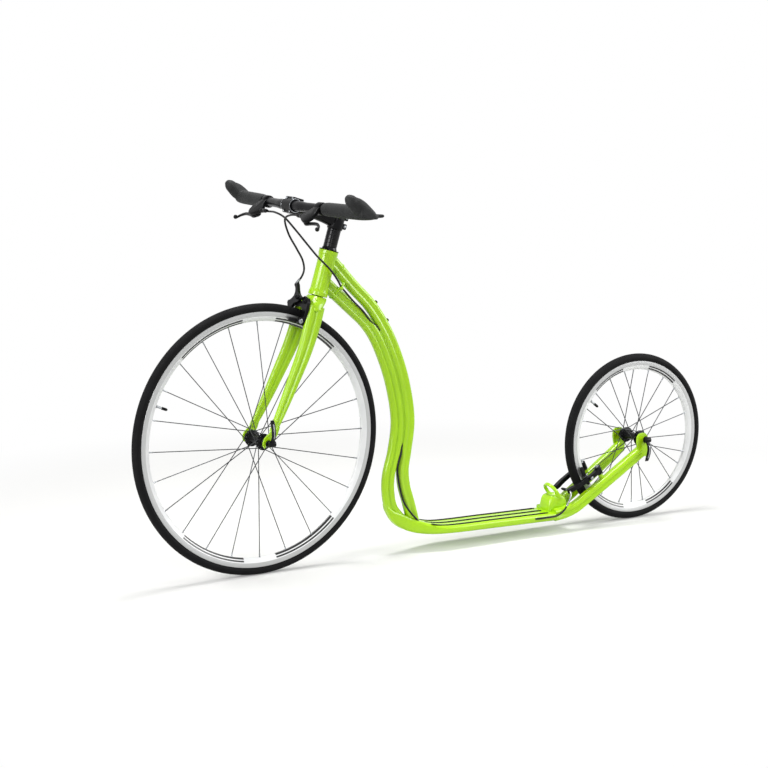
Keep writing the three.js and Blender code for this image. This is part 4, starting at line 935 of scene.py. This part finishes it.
grip_stations = [(151, 15, 15.6, 0), (158, 16.2, 18, 0), (185, 16.8, 23, 2), (225, 17, 31, 5.5),
                 (262, 17, 40, 9), (290, 16.6, 43, 11), (308, 15, 37, 11), (317.4, 12, 26, 9)]
palm = lofted([grip_ring(*station) for station in curve_through(grip_stations, 60)])
horn_points = [bar_point(291, -8, 1), bar_point(298, 10, 10), (428, 300, 927), (439, 299.5, 938),
               (447, 299, 945.6)]
horn_line = curve_through([(*p, r) for p, r in zip(horn_points, (13, 16.2, 15.2, 13.4, 6.4))], 30)
web_line = curve_through([(438, 299.6, 936, 11.5), (417.5, 301.2, 924.5, 15.8), (398.5, 301.4, 910.5, 15.4),
                          (377, 302, 899, 9)], 24)
horn, web = (swept(line[:, :3], line[:, 3], 28) for line in (horn_line, web_line))
tip_line = curve_through([bar_point(302, -26, -7), bar_point(303, -44, -8), bar_point(303, -56, -8.5)], 10)
tip = swept(tip_line, [6, 5.6, 5.2, 5, 4.8, 4.6, 4.5, 4.4, 4.2, 3.2], 20)
SKIN_GRID = 0.0017  # the remeshed skin's grid, in metres
for grip in pair("*_grip", [palm, horn, web, tip], grip_rubber, "steering", "grip_*", sharp=80):
    blended = grip.modifiers.new("one_skin", "REMESH")
    blended.mode, blended.voxel_size, blended.use_smooth_shade = "VOXEL", SKIN_GRID, True
    calm = grip.modifiers.new("calm", "SMOOTH")
    calm.factor, calm.iterations = 0.5, 8
print("grips reach", round(float(palm[0][:, 1].max()), 1), "mm from the middle")

# %% [markdown]
# Each brake lever is a moulded body, clamped to the bar, and a pressed blade that turns in it. The
# blade is a long flat bow with a ball on its end. A barrel adjuster leads the housing in.

# %% Brake levers
LEVER_AXIS = unit((0.61, 0, 0.79))
LEVER_SWING = unit(np.cross([0, 1, 0], LEVER_AXIS))
PIVOT_X, PIVOT_Y, PIVOT_Z = 455.0, 120.0, 878.0


def in_swing(y, swing, lift):
    """Lever coordinates: y, how far past the pivot from the bar, and height above the lever's plane."""
    return np.array([PIVOT_X, y, PIVOT_Z]) + swing * LEVER_SWING + lift * LEVER_AXIS


body_outline = rounded_outline([(100, -11), (107, -19), (119, -30), (123, -47), (141, -47), (146, -30),
                                (156, -14), (155, -2), (147, 9), (137, 13), (124, 11), (112, 5),
                                (102, -2)], 8)
body_rings = [[in_swing(130 + (y - 130) * k, -16 + (w + 16) * k, lift) for y, w in body_outline]
              for k, lift in ((0.82, 0.6), (0.96, 1.6), (1, 3.4), (1, 8), (0.96, 10.4), (0.8, 12.2))]
bar_ring = rod(bar_point(123), bar_point(141.5), 15.4, sides=40, rounding=1.6)
pair("*_lever_body", [bar_ring, lofted(body_rings)], black_moulded, "steering", "lever_body_*")
barrel_profile = [(2.8, 0), (5.6, 0), (5.9, 0.6), (5.9, 7), (5.2, 8), (4.9, 12), (5.2, 12.6), (5.2, 22),
                  (4.4, 23), (3.6, 30), (2.8, 30)]
barrel = turned(barrel_profile, in_swing(104, -6.4, 5.6), (-0.02, -1, 0.03), 32)
pair("*_barrel_adjuster", [barrel], black_anodised, "steering")

# x, y, half width, half thickness
LEVER_STATIONS = [(455, 117, 5.4, 2.8), (459, 124, 5.4, 2.8), (461, 133, 4.8, 2.8), (459.4, 148, 4.2, 2.8),
                  (458, 166, 3.9, 2.8), (459, 182, 3.7, 2.8), (464, 195, 3.4, 2.8), (471, 204, 3, 2.8)]
lever_rings = []
for x, y, wide, thick in curve_through(LEVER_STATIONS, 52):
    centre = in_swing(y, (x - PIVOT_X) / LEVER_SWING[0], -3.2)
    lever_rings.append([centre + a * LEVER_SWING + b * LEVER_AXIS
                        for a, b in rounded_rectangle(wide, thick, 1.6, steps=3)])
ball_profile = [(5.4 * math.sin(s), -5.4 * math.cos(s)) for s in np.linspace(0, math.pi, 17)]
lever_blade = [
    lofted(lever_rings),
    rod(in_swing(PIVOT_Y, 0, 0.1), in_swing(PIVOT_Y, 0, -6), 8, 7.4, 32, 1.0),
    turned(ball_profile, (472, 205.6, 864), LEVER_AXIS, 28),
]
pair("*_lever_blade", lever_blade, black_anodised, "brake_lever_*", "brake_lever_*")
pivot_bolt = socket_bolt(in_swing(PIVOT_Y, 0, -6), -LEVER_AXIS, 3.6, 1.6)
pair("*_lever_pivot", [pivot_bolt], bright_steel, "brake_lever_*")
lever_bolts = [socket_bolt(in_swing(PIVOT_Y, 0, 9.4), LEVER_AXIS, 3.6, 1.4),
               socket_bolt(bar_point(132, -9, -12.4), (-0.3, 0, -1), 2.8, 2.6)]
pair("*_lever_bolts", lever_bolts, bright_steel, "steering")

# %% [markdown]
# A wheel, from the outside in: the tyre, the rim, the spokes with their nipples, and the hub. All are
# turned round the hub. 24 spokes run from the flanges, each leaning a sixth of a turn from its hole.

# %% Tyres and rims
def round_axle(which, profile, sides):
    """A part turned round that wheel's axle."""
    return turned(profile, HUBS[which], LEFT, sides)


def on_wheel(which, shapes):
    """Moves shapes that are drawn round the origin to that hub."""
    return [(points + HUBS[which], faces) for points, faces in shapes]


def mirrored(profile):
    """The same profile on the other side of the wheel, in reverse order."""
    return [(r, -h) for r, h in profile[::-1]]


WHEEL_SIDES = 216
for which, outer in TYRE_RADIUS.items():
    half = [(outer, 0), (outer - 0.5, 3.6), (outer - 2.4, 7.6), (outer - 6.2, 11.1), (outer - 11.5, 12.5),
            (outer - 16.4, 11.3), (outer - 19.4, 9.2), (outer - 22, 7.9), (outer - 24, 7.4),
            (outer - 23.8, 5.4), (outer - 18, 6.4), (outer - 9, 8), (outer - 5, 4)]
    casing = [tuple(p) for p in curve_through(half + mirrored(half[1:]), 64, closed=True)]
    piece(f"{which}_tyre_casing", [round_axle(which, casing, WHEEL_SIDES)], tyre_finish(which),
          f"{which}_wheel", f"{which}_tyre")
    top = outer - RIM_TOP
    rim_half = [(top, 8.4), (top, 9.4), (top - 0.6, 10), (top - 11.2, 10), (top - 12, 9.7), (top - 17, 7.9),
                (top - 21.6, 5.4), (top - 23.6, 3), (top - 24, 1)]
    inner_half = [(top - 9, 1), (top - 9, 7.2), (top - 3, 8.2)]
    extrusion = rim_half + mirrored(rim_half) + mirrored(inner_half) + inner_half
    piece(f"{which}_rim_extrusion", [round_axle(which, extrusion, WHEEL_SIDES)], rim_finish(which),
          f"{which}_wheel", f"{which}_rim", sharp=24)
print("tyres", TYRE_RADIUS)

# %% [markdown]
# A spoke is a steel wire with a bent head in the flange, drawn 2.3 mm thick. The elbow lies on the
# outside of the flange for a spoke that leans one way and on the inside for the other, which is how a
# wheel is laced.

# %% Spokes
# for each wheel and side, the angle and the lean of two spokes, repeated every 60 degrees
SPOKE_PATTERN = {"front": {1: [(0, -1), (30, 1)], -1: [(15, 1), (45, -1)]},
                 "rear": {1: [(19, 1), (45, -1)], -1: [(4, 1), (30, -1)]}}
FLANGE_OFFSET, SPOKE_CIRCLE = 29.0, 17.5
SPOKE_LEAN = math.radians(60)
SPOKE_RADIUS = 1.15
ELBOW_OUT = 2.6
NIPPLE = [(0, 0), (1.5, 0), (1.7, 0.6), (1.7, 8), (2.1, 9), (2.1, 12.5), (0, 12.5)]


def polar(radius, angle, y):
    return np.array([radius * math.cos(angle), y, radius * math.sin(angle)])


def one_spoke(foot, side_sign, angle, lean_sign):
    """The wire, its head and its nipple, between the hub and the rim's foot."""
    out = np.array([0, lean_sign * side_sign, 0])
    hole = polar(SPOKE_CIRCLE, angle + lean_sign * SPOKE_LEAN, side_sign * FLANGE_OFFSET)
    start = hole + out * ELBOW_OUT
    end = polar(foot + 1.5, angle, side_sign * 2)
    run = unit(end - start)
    head_end = hole - out * ELBOW_OUT * 1.15
    elbow = [hole - out * ELBOW_OUT * 1.1, hole, start - out * 0.7, start + run * 2.2, start + run * 8]
    line = np.vstack([curve_through(elbow, 12), [end - run * 11, end]])
    head = rod(head_end - out * 0.3, head_end - out * 1.1, 1.8, 1.1, 10)
    return swept(line, SPOKE_RADIUS, 8), head, turned(NIPPLE, end - run * 12, run, 10)


for which, sides in SPOKE_PATTERN.items():
    foot = TYRE_RADIUS[which] - RIM_TOP - RIM_DEPTH
    for side_sign, word in ((1, "left"), (-1, "right")):
        wires, nipples = [], []
        for sixth in range(6):
            for degrees, lean_sign in sides[side_sign]:
                wire, head, nipple = one_spoke(foot, side_sign, math.radians(60 * sixth + degrees), lean_sign)
                wires += [wire, head]
                nipples.append(nipple)
        piece(f"{which}_{word}_spokes", on_wheel(which, wires), spoke_steel, f"{which}_wheel",
              f"{which}_spokes_{word}")
        piece(f"{which}_{word}_nipples", on_wheel(which, nipples), bright_steel, f"{which}_wheel")

# %% [markdown]
# The hub is one turned shell with a flange at each side for the spokes. Its ends hold the cartridge
# bearings; an axle with locknuts runs through, and a skewer through that.

# %% Hubs, axles and skewers
flange = [(12.7, -3.6), (15, -2.2), (19.6, -1.7), (20.5, -1.2), (20.5, 1.2), (19.6, 1.7), (15, 2.2),
          (12.7, 3.6)]
hub_side = [(9.4, 0), (9.4, 10), (10, 16), (11.6, 22), (12.7, 25.4)]
hub_side += [(r, FLANGE_OFFSET + h) for r, h in flange]
hub_side += [(12.7, 40), (13.2, 41), (13.2, 45), (12.4, 46), (11.2, 46), (11.2, 38), (7, 37), (7, 0)]
seal = [(5.1, 38.2), (10.9, 38.2), (10.9, 45), (9.6, 45.2), (9.2, 44.6), (6.4, 44.6), (6, 45.2), (5.1, 45)]
axle_side = [(4.7, 46.6), (7.6, 46.8), (8, 47.2), (8, 49.4), (7.6, 49.8), (4.7, 49.8), (4.7, 54.6), (4.4, 55),
             (2.9, 55)]
nut = [(0, -68), (4, -68), (6.4, -66.6), (7, -65), (7.6, -60), (8.5, -58.4), (8.5, -56), (0, -56)]
washer = [(0, 56), (8.5, 56), (8.5, 57.8), (7.8, 58.8), (0, 58.8)]
pin = [(0, -57), (2.5, -57), (2.5, 58), (0, 58)]
knurl = [rod(polar(7.9, math.radians(a), -58.6), polar(7.3, math.radians(a), -64.6), 0.9, 0.7, 6)
         for a in range(0, 360, 20)]
valve = [(0, -2), (3, -2), (3, 0), (4.2, 0.2), (4.2, 1.8), (3, 2), (2.9, 12), (2.2, 12.6), (2.2, 17), (0, 17)]
valve_cap = [(0, 16), (3.2, 16), (3.6, 16.6), (3.6, 28), (2.6, 31), (1.2, 31.8), (0, 31.8)]
VALVE_ANGLE = {"front": math.radians(21.9), "rear": math.radians(37.2)}
for which, carrier in (("front", "steering"), ("rear", "frame")):
    wheel = f"{which}_wheel"
    shell = round_axle(which, hub_side + mirrored(hub_side[1:-1]), 72)
    piece(f"{which}_hub_shell", [shell], black_anodised, wheel, f"{which}_hub", sharp=30)
    seals = [round_axle(which, [(r, sign * h) for r, h in seal], 48) for sign in (-1, 1)]
    piece(f"{which}_hub_bearings", seals, bright_steel, wheel, f"{which}_bearing_left {which}_bearing_right")
    axle = round_axle(which, mirrored(axle_side) + axle_side, 40)
    piece(f"{which}_axle_tube", [axle], bright_steel, carrier, f"{which}_axle")
    piece(f"{which}_skewer_rod", [round_axle(which, pin, 24)], bright_steel, carrier)
    ends = [round_axle(which, profile, 40) for profile in (nut, washer)]
    piece(f"{which}_skewer_ends", ends + on_wheel(which, knurl), black_anodised, carrier, f"{which}_skewer")
    outwards = polar(1, VALVE_ANGLE[which], 0)
    foot = HUBS[which] + outwards * (TYRE_RADIUS[which] - RIM_TOP - RIM_DEPTH)
    piece(f"{which}_valve", [turned(valve, foot, -outwards, 20)], bright_steel, wheel)
    piece(f"{which}_valve_cap", [turned(valve_cap, foot, -outwards, 20)], black_moulded, wheel)
print("hubs reach", axle_side[-1][1], "mm from the middle")

# %% [markdown]
# The quick release handle is a bowed lever that turns about a cam pin beside the washer. It is black,
# with a thin bright steel strip along its outer face, a painted highlight. The front one points up along the
# fork, the rear one down.

# %% Quick release handles
CAM_OFFSET = 66.0
# out from the cam, up, half width, half thickness
handle_stations = [(0, -2, 6, 4.6), (2.2, 6, 5.4, 3.6), (7.6, 14, 5, 3.1), (9.4, 22, 5, 3.1),
                   (8, 35, 5.4, 2.9), (2.6, 50, 5.6, 2.6), (-0.4, 58, 4.8, 1.8)]
HIGHLIGHT_START, HIGHLIGHT_END = 14, 50
FRONT_HANDLE_UP = unit((-0.03, 0, 1))
HANDLE_SHIFT = -3.5
for which, carrier in (("front", "front_quick_release"), ("rear", "rear_quick_release")):
    def on_hub(across_x, y, up, which=which):
        if which == "front":
            return np.array(HUBS["front"]) + [across_x, y, 0] + up * FRONT_HANDLE_UP
        return np.array(HUBS["rear"]) + [-across_x, y, -up]

    rings, highlight_strip = [], []
    for out, up, half, thick in curve_through(handle_stations, 36):
        y = CAM_OFFSET + out
        rings.append([on_hub(HANDLE_SHIFT + a, y + b, up)
                      for a, b in rounded_rectangle(half, thick, min(half, thick) * 0.7)])
        # A painted highlight: a thin bright steel strip along the handle's outer face, where the light
        # catches it.
        if HIGHLIGHT_START < up < HIGHLIGHT_END:
            highlight_strip.append([on_hub(HANDLE_SHIFT + a, y + thick + b, up)
                          for a, b in rounded_rectangle(half * 0.3, 0.3, 0.2, steps=3)])
    barrel_cam = rod(on_hub(-12.5, CAM_OFFSET, 0), on_hub(6, CAM_OFFSET, 0), 7.6, sides=32, rounding=1.2)
    piece(f"{which}_quick_release_handle", [lofted(rings), barrel_cam], black_anodised, carrier,
          f"{which}_quick_release_lever")
    piece(f"{which}_quick_release_highlight_strip", [lofted(highlight_strip)], bright_steel, carrier)

# %% [markdown]
# The front brake is a dual pivot caliper. Two forged arms cross in front of the crown: one turns on
# the crown bolt, the other on a pin beside it. Each holds a pad beside the rim. Outlines seen from the
# front, pulled to a thickness and with broken edges, give forged arms.

# %% Front caliper
def from_front(left, up, forward):
    return steer(forward, left, up)


def forward_rod(left, up, low, high, radius, rounding=0.5):
    return rod(steer(low, left, up), steer(high, left, up), radius, sides=32, rounding=rounding)


bridge = rounded_outline([(0, -7), (26, -14), (32, -22), (26, -30), (0, -24), (-8, -15)], 6)
caliper_base = [
    prism(bridge, from_front, 31, 35.4),
    forward_rod(0, -15, -12, 58, 4), forward_rod(0, -15, 53.8, 58.4, 6.4, 1.0),
    forward_rod(0, -15, -14.6, -9, 5.6), forward_rod(24, -22, 34, 47.4, 5.4, 0.8),
]
piece("caliper_bridge", caliper_base, black_anodised, "steering", "front_brake_bracket", edge=0.6)
piece("caliper_bolts", [socket_bolt(steer(58.4, 0, -15), FORWARD, 4.4, 2.2),
                        socket_bolt(steer(47.4, 24, -22), FORWARD, 3.6, 1.8)], black_anodised, "steering")
ferrule = [(0.8, -9.4), (2.4, -9.4), (2.9, -8.8), (2.9, -2), (3.2, -1.4), (3.2, 5), (2.62, 5.4), (2.62, 0),
           (0.8, 0)]
ferrule = turned(ferrule, front_path[-1] * 1000, unit(front_path[-4] - front_path[-1]), 28)
piece("front_cable_ferrule", [ferrule], bright_steel, "steering")
left_arm = rounded_outline([(22, -80), (32.4, -80), (37.4, -62), (39.4, -40), (38, -22), (30, -11.6),
                            (17, -12.6), (11, -22), (-12, -22.5), (-26, -14.6), (-38.6, -15), (-40.4, -24),
                            (-30, -30.4), (-16, -36.4), (14, -36.4), (20, -42), (21.6, -54)], 4)
right_arm = rounded_outline([(-32.4, -80), (-22, -80), (-21.6, -54), (-20, -40), (-12, -30), (3, -27),
                             (9.6, -20), (8.4, -11), (0, -7.5), (-7, -1), (-13, 7), (-17.6, 15.5), (-23, 20),
                             (-30, 19), (-32.4, 13), (-28, 10), (-23, 6), (-19.4, -3), (-20.6, -13),
                             (-28, -20), (-36, -25), (-44, -27), (-45.4, -33), (-40, -38), (-38.4, -50),
                             (-37.4, -62)], 4)
caliper_left = [prism(left_arm, from_front, 35.8, 44.2),
                rod(steer(47.6, 23, -71), steer(47.6, 33, -71), 7.4, sides=32, rounding=0.8),
                rod(steer(41, 23, -72), steer(41, 33, -72), 7.4, sides=32, rounding=0.8)]
caliper_right = [prism(right_arm, from_front, 44.6, 53),
                 rod(steer(48, -36.6, -72), steer(48, -31, -72), 5.6, sides=32, rounding=0.6),
                 rod(steer(48, -25.6, 10), steer(48, -25.6, 21.8), 4.3, 3.8, 32, 0.6)]
pad_bolts = (socket_bolt(steer(47.6, 33, -71), LEFT, 5.6, 2.6),
             socket_bolt(steer(48, -36.6, -72), -LEFT, 4.2, 2.2))
for word, arm, bolt in zip(("left", "right"), (caliper_left, caliper_right), pad_bolts):
    carrier = f"front_brake_arm_{word}"
    piece(f"caliper_{word}_arm", arm, black_anodised, carrier, carrier, edge=1.3)
    piece(f"caliper_{word}_pad_bolt", [bolt], bright_steel, carrier)

# %% [markdown]
# A brake pad is a curved rubber block in a holder, with rain grooves across its face. It is drawn
# round the hub it belongs to, so that it follows the rim.

# %% Brake pads
PAD_FACE, PAD_THICKNESS, PAD_LENGTH = 12.3, 8.0, 54.0
REAR_TILT = math.radians(27)
REAR_OUT = np.array([math.cos(REAR_TILT), 0, -math.sin(REAR_TILT)])
REAR_ALONG = np.array([math.sin(REAR_TILT), 0, math.cos(REAR_TILT)])


def rear_brake(out, left, along):
    """Brake coordinates at the rear: out from the hub, to the left, and along the rim."""
    return np.array(HUBS["rear"]) + out * REAR_OUT + left * LEFT + along * REAR_ALONG


def pad_block(place, radius):
    """A pad round a hub: place(out, left, along) puts it there."""
    half = PAD_LENGTH / 2 / radius
    rings = []
    for k, angle in enumerate(np.linspace(-half, half, 28)):
        half_height = 5 * (1 - 0.35 * (abs(angle) / half) ** 6)
        groove = 1.1 if k % 7 == 3 else 0.0
        ring = []
        for dr, dy in rounded_rectangle(half_height, PAD_THICKNESS / 2, 1.6, steps=3):
            y = PAD_FACE + PAD_THICKNESS / 2 + (dy if dy > 0 else dy + groove)
            ring.append(place((radius + dr) * math.cos(angle), y, (radius + dr) * math.sin(angle)))
        rings.append(ring)
    return lofted(rings)


PAD_SPOT = (44, -72)  # forward and up, in steering coordinates
front_angle = math.atan2(PAD_SPOT[1] - HUB_UP, PAD_SPOT[0] - HUB_FORWARD)
FRONT_OUT = math.cos(front_angle) * FORWARD + math.sin(front_angle) * UP
FRONT_ALONG = math.sin(front_angle) * FORWARD - math.cos(front_angle) * UP


def front_brake(out, left, along):
    """Brake coordinates at the front, as at the rear."""
    return np.array(HUBS["front"]) + out * FRONT_OUT + left * LEFT + along * FRONT_ALONG


pair("front_*_pad", [pad_block(front_brake, 306)], pad_rubber, "front_brake_arm_*", "front_brake_pad_*")
pair("rear_*_pad", [pad_block(rear_brake, 197)], pad_rubber, "rear_brake_arm_*", "rear_brake_pad_*")
for word, side_sign, forward in (("left", 1, 41), ("right", -1, 48)):
    inner, outer = (steer(forward, left * side_sign, PAD_SPOT[1]) for left in (19, 31.4))
    stud = rod(inner, outer, 4.6, sides=28, rounding=0.4)
    piece(f"front_{word}_pad_stud", [stud], bright_steel, f"front_brake_arm_{word}")
inner, outer = rear_brake(197, PAD_FACE + PAD_THICKNESS - 1, 0), rear_brake(197, 34.4, 0)
pair("rear_*_pad_stud", [rod(inner, outer, 5, sides=28, rounding=0.4)], bright_steel, "rear_brake_arm_*")

# %% [markdown]
# The rear brake is a linear pull pair: two long arms on bosses, pulled together at their tips by the
# cable. A bent metal tube leads the housing in from the left, and a rubber boot covers the bare wire.

# %% Rear brake
ARM_OUTLINE = rounded_outline([(154, 40), (153, 29), (163, 25.5), (172, 30), (186, 34.6), (215, 34),
                               (240, 30), (258, 24), (270, 25), (271, 34), (242, 41), (205, 45), (180, 45),
                               (166, 43)], 4)
rear_arm = [
    prism(ARM_OUTLINE, rear_brake, -6, 6),
    rod(rear_brake(160.6, 34, -11.4), rear_brake(160.6, 34, 11.4), 9, sides=40, rounding=0.8),
    rod(rear_brake(197, 43.6, 0), rear_brake(197, 49, 0), 5.6, sides=32, rounding=0.6),
]
rear_bolts = [socket_bolt(rear_brake(160.6, 34, 11.4), REAR_ALONG, 5.6, 2),
              socket_bolt(rear_brake(197, 49, 0), LEFT, 4.2, 2)]
boss = rod(rear_brake(160.6, 34, -36), rear_brake(160.6, 34, -13), 6.6, sides=32, rounding=0.6)
pair("rear_*_arm", rear_arm, black_anodised, "rear_brake_arm_*", "rear_brake_arm_*", edge=1.4)
pair("rear_*_arm_bolts", rear_bolts, bright_steel, "rear_brake_arm_*")
pair("rear_*_boss", [boss], lime_powder_coat, "frame")
clamp = socket_bolt(rear_brake(262, -34, 0), -LEFT, 3.6, 2.2)
piece("rear_cable_clamp", [clamp], bright_steel, "rear_brake_arm_right")
noodle_line = curve_through([(-376.2, 49, 72.2), (-381.6, 48.8, 81.5), (-388, 47.6, 92.5),
                             (-393.8, 42.4, 103), (-396.4, 34.5, 107.6), (-397.2, 24, 108),
                             (-397.2, 12, 108)], 40)
noodle = [swept(noodle_line, 2.4, 20), rod(noodle_line[0], noodle_line[3], 3.4, 3.2, 24, 0.4)]
piece("rear_noodle", noodle, bright_steel, "rear_brake_arm_left", "rear_brake_noodle")
BOOT_FOLD = 2.4
boot_profile = [(0, 0), (4.3, 0)]
for k in range(7):
    boot_profile += [(4.3 - 0.16 * k, 1.2 + BOOT_FOLD * k), (3.3 - 0.12 * k, BOOT_FOLD * (k + 1))]
boot_profile += [(2.2, 19), (0, 19)]
boot = turned(boot_profile, (-397.2, 15, 108), -LEFT, 28)
piece("rear_noodle_boot", [boot], pad_rubber, "rear_brake_arm_left")

# %% [markdown]
# The rear housing runs from a guide on the upper tube down the frame, through the footboard, and out
# beside the left stay. Small bosses, bolts and a guide are what makes a frame look made, not drawn.

# %% Rear housing and frame fittings
REAR_CABLE = [(296.6, 18.4, 696.6), (286, 17.2, 686), (262, 15.6, 661), (234, 14.4, 635), (214, 12, 611)]
REAR_CABLE += [(x, y, z) for (x, z), y in zip(seam_spots, (6, 0, 0, 0, 9.6))]
REAR_CABLE += [(125, 12, 250), (131.4, 11, 222), (127.4, 10.4, 189), (114, 12.6, 136), (95, 17.2, 105),
               (71, 18, 79), (52, 20, 58), (0, 28, 52), (-150, 34, 49), (-240, 34.4, 48.6), (-264, 37, 48.6),
               (-286, 49, 49), (-312, 50, 49.4), (-338, 49.8, 49.6), (-354, 49.8, 54), (-366, 49.4, 61),
               (-375.2, 49, 70.6)]
cable("rear_brake_housing", REAR_CABLE, 260, "frame", "rear_brake_cable")
guide_axis = unit(loop_path[-1] - loop_path[-4])
guide_spot = np.array([297.5, 18.6, 697.6])
guide = [turned([(2.7, -5), (3.6, -5), (4, -4.5), (4, 4.5), (3.6, 5), (2.7, 5)], guide_spot, guide_axis, 32),
         rod(guide_spot + [-2, -3, 2], guide_spot + [-11, -8, 9], 2.7, 3.8, 24, 0.4)]
piece("cable_guide", guide, lime_powder_coat, "frame", sharp=50)
TUBE_BACK = 15.8  # from a tube's middle to its back


def on_tube(line, spot, side_of_tube):
    """The place on a tube's back (-1) or front (1) nearest to a spot in side view, and the way out."""
    fine = curve_through(line, 400)
    i = int(np.argmin(np.linalg.norm(fine - spot, axis=1)))
    slope = unit(fine[i + 1] - fine[i - 1])
    out = np.array([-slope[1], 0, slope[0]]) * side_of_tube
    return np.array([fine[i][0], 0, fine[i][1]]) + out * TUBE_BACK, out


boss_profile = [(0, -2), (6.2, -2), (6.2, 0.4), (5.4, 1.1), (3.2, 1.1), (3.2, 0.2), (0, 0.2)]
BOLTS_ABOVE = 400  # only the upper two bosses carry a bolt
bosses, boss_bolts = [], []
for spot in ((203, 640), (161, 600), (86.6, 243), (86.7, 182)):
    foot, out = on_tube(UPPER_LINE, spot, -1)
    bosses.append(turned(boss_profile, foot, out, 32))
    if spot[1] > BOLTS_ABOVE:
        boss_bolts.append(socket_bolt(foot + out * 0.8, out, 4.2, 4.4))
piece("frame_bosses", bosses, lime_powder_coat, "frame")
piece("frame_boss_bolts", boss_bolts, black_anodised, "frame")
print(len(bosses), "bosses,", len(boss_bolts), "bolts")

# %% [markdown]
# The studio: a pale floor that keeps the shadow, and soft lamps. The world is white to the camera and
# in reflections, and a plain soft grey as a light, so that white paper behind the bike costs no
# contrast on it. Far from the bike the floor turns into the same white.

# %% Studio
SKY_LIGHT, FLOOR_LIFT = 0.26, 0.17
FLOOR_FADE_START, FLOOR_FADE_END = 0.95, 1.9  # in metres from the middle of the bike


def rays_of(tree, *kinds):
    """1 for a ray of any of those kinds and 0 for the rest."""
    rays = add_node(tree, "LightPath", {}, {})
    return any_of(tree, [rays.outputs[f"Is {kind} Ray"] for kind in kinds])


scene = bpy.context.scene
scene.view_settings.view_transform = "Standard"
world = bpy.data.worlds.new("studio")
scene.world = world
world.use_nodes = True
tree = world.node_tree
seen = rays_of(tree, "Camera", "Glossy", "Transmission")
strength = add_node(tree, "MapRange", {}, {"Value": seen, "To Min": SKY_LIGHT, "To Max": 1.0})
sky = tree.nodes["Background"]
sky.inputs["Color"].default_value = linear("#FFFFFF")
tree.links.new(strength.outputs["Result"], sky.inputs["Strength"])

floor_finish, tree, skin = new_finish("pale_floor")
skin.inputs["Base Color"].default_value = linear("#CDCDCB")
skin.inputs["Roughness"].default_value = 0.9
skin.inputs["Specular IOR Level"].default_value = 0.1
seen = rays_of(tree, "Camera", "Glossy")
lift = reckon(tree, "MULTIPLY", seen, FLOOR_LIFT)
glow = add_node(tree, "Emission", {}, {"Color": linear("#FFFFFF"), "Strength": lift})
lit = add_node(tree, "AddShader", {}, {0: skin.outputs["BSDF"], 1: glow.outputs["Emission"]})
white = add_node(tree, "Emission", {}, {"Color": linear("#FFFFFF"), "Strength": seen})
place = add_node(tree, "NewGeometry", {}, {}).outputs["Position"]
reach = add_node(tree, "VectorMath", {"operation": "LENGTH"}, {0: place}).outputs["Value"]
far = add_node(tree, "MapRange", {"interpolation_type": "SMOOTHSTEP"}, {
    "Value": reach, "From Min": FLOOR_FADE_START, "From Max": FLOOR_FADE_END}).outputs["Result"]
mixed = add_node(tree, "MixShader", {}, {0: far, 1: lit.outputs["Shader"], 2: white.outputs["Emission"]})
tree.links.new(mixed.outputs["Shader"], tree.nodes["Material Output"].inputs["Surface"])
floor_mesh = bpy.data.meshes.new("floor")
floor_mesh.from_pydata([(-30, -30, 0), (30, -30, 0), (30, 30, 0), (-30, 30, 0)], [], [(0, 1, 2, 3)])
floor = bpy.data.objects.new("floor", floor_mesh)
floor.location.z = -0.0005
floor_mesh.materials.append(floor_finish)
scene.collection.objects.link(floor)


def soft_lamp(name, place, aim, size, watts):
    lamp = bpy.data.objects.new(name, bpy.data.lights.new(name, "AREA"))
    lamp.data.shape, lamp.data.size, lamp.data.energy = "DISK", size, watts
    lamp.location = place
    lamp.rotation_euler = (Vector(aim) - Vector(place)).to_track_quat("-Z", "Y").to_euler()
    scene.collection.objects.link(lamp)


soft_lamp("key_lamp", (3.7, 0.9, 1.5), (0.1, 0, 0.45), 1.9, 118)
soft_lamp("rim_lamp", (-2.9, 1.8, 1.7), (-0.1, 0, 0.5), 2.4, 105)
soft_lamp("top_lamp", (0.0, -0.2, 3.0), (0, 0, 0), 1.1, 75)
soft_lamp("fill_lamp", (2.6, 5.2, 2.6), (0, 0, 0.4), 1.3, 44)

# %% Finish
for name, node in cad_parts.items():
    if not node.hide_render:
        print("packed node still showing:", name)
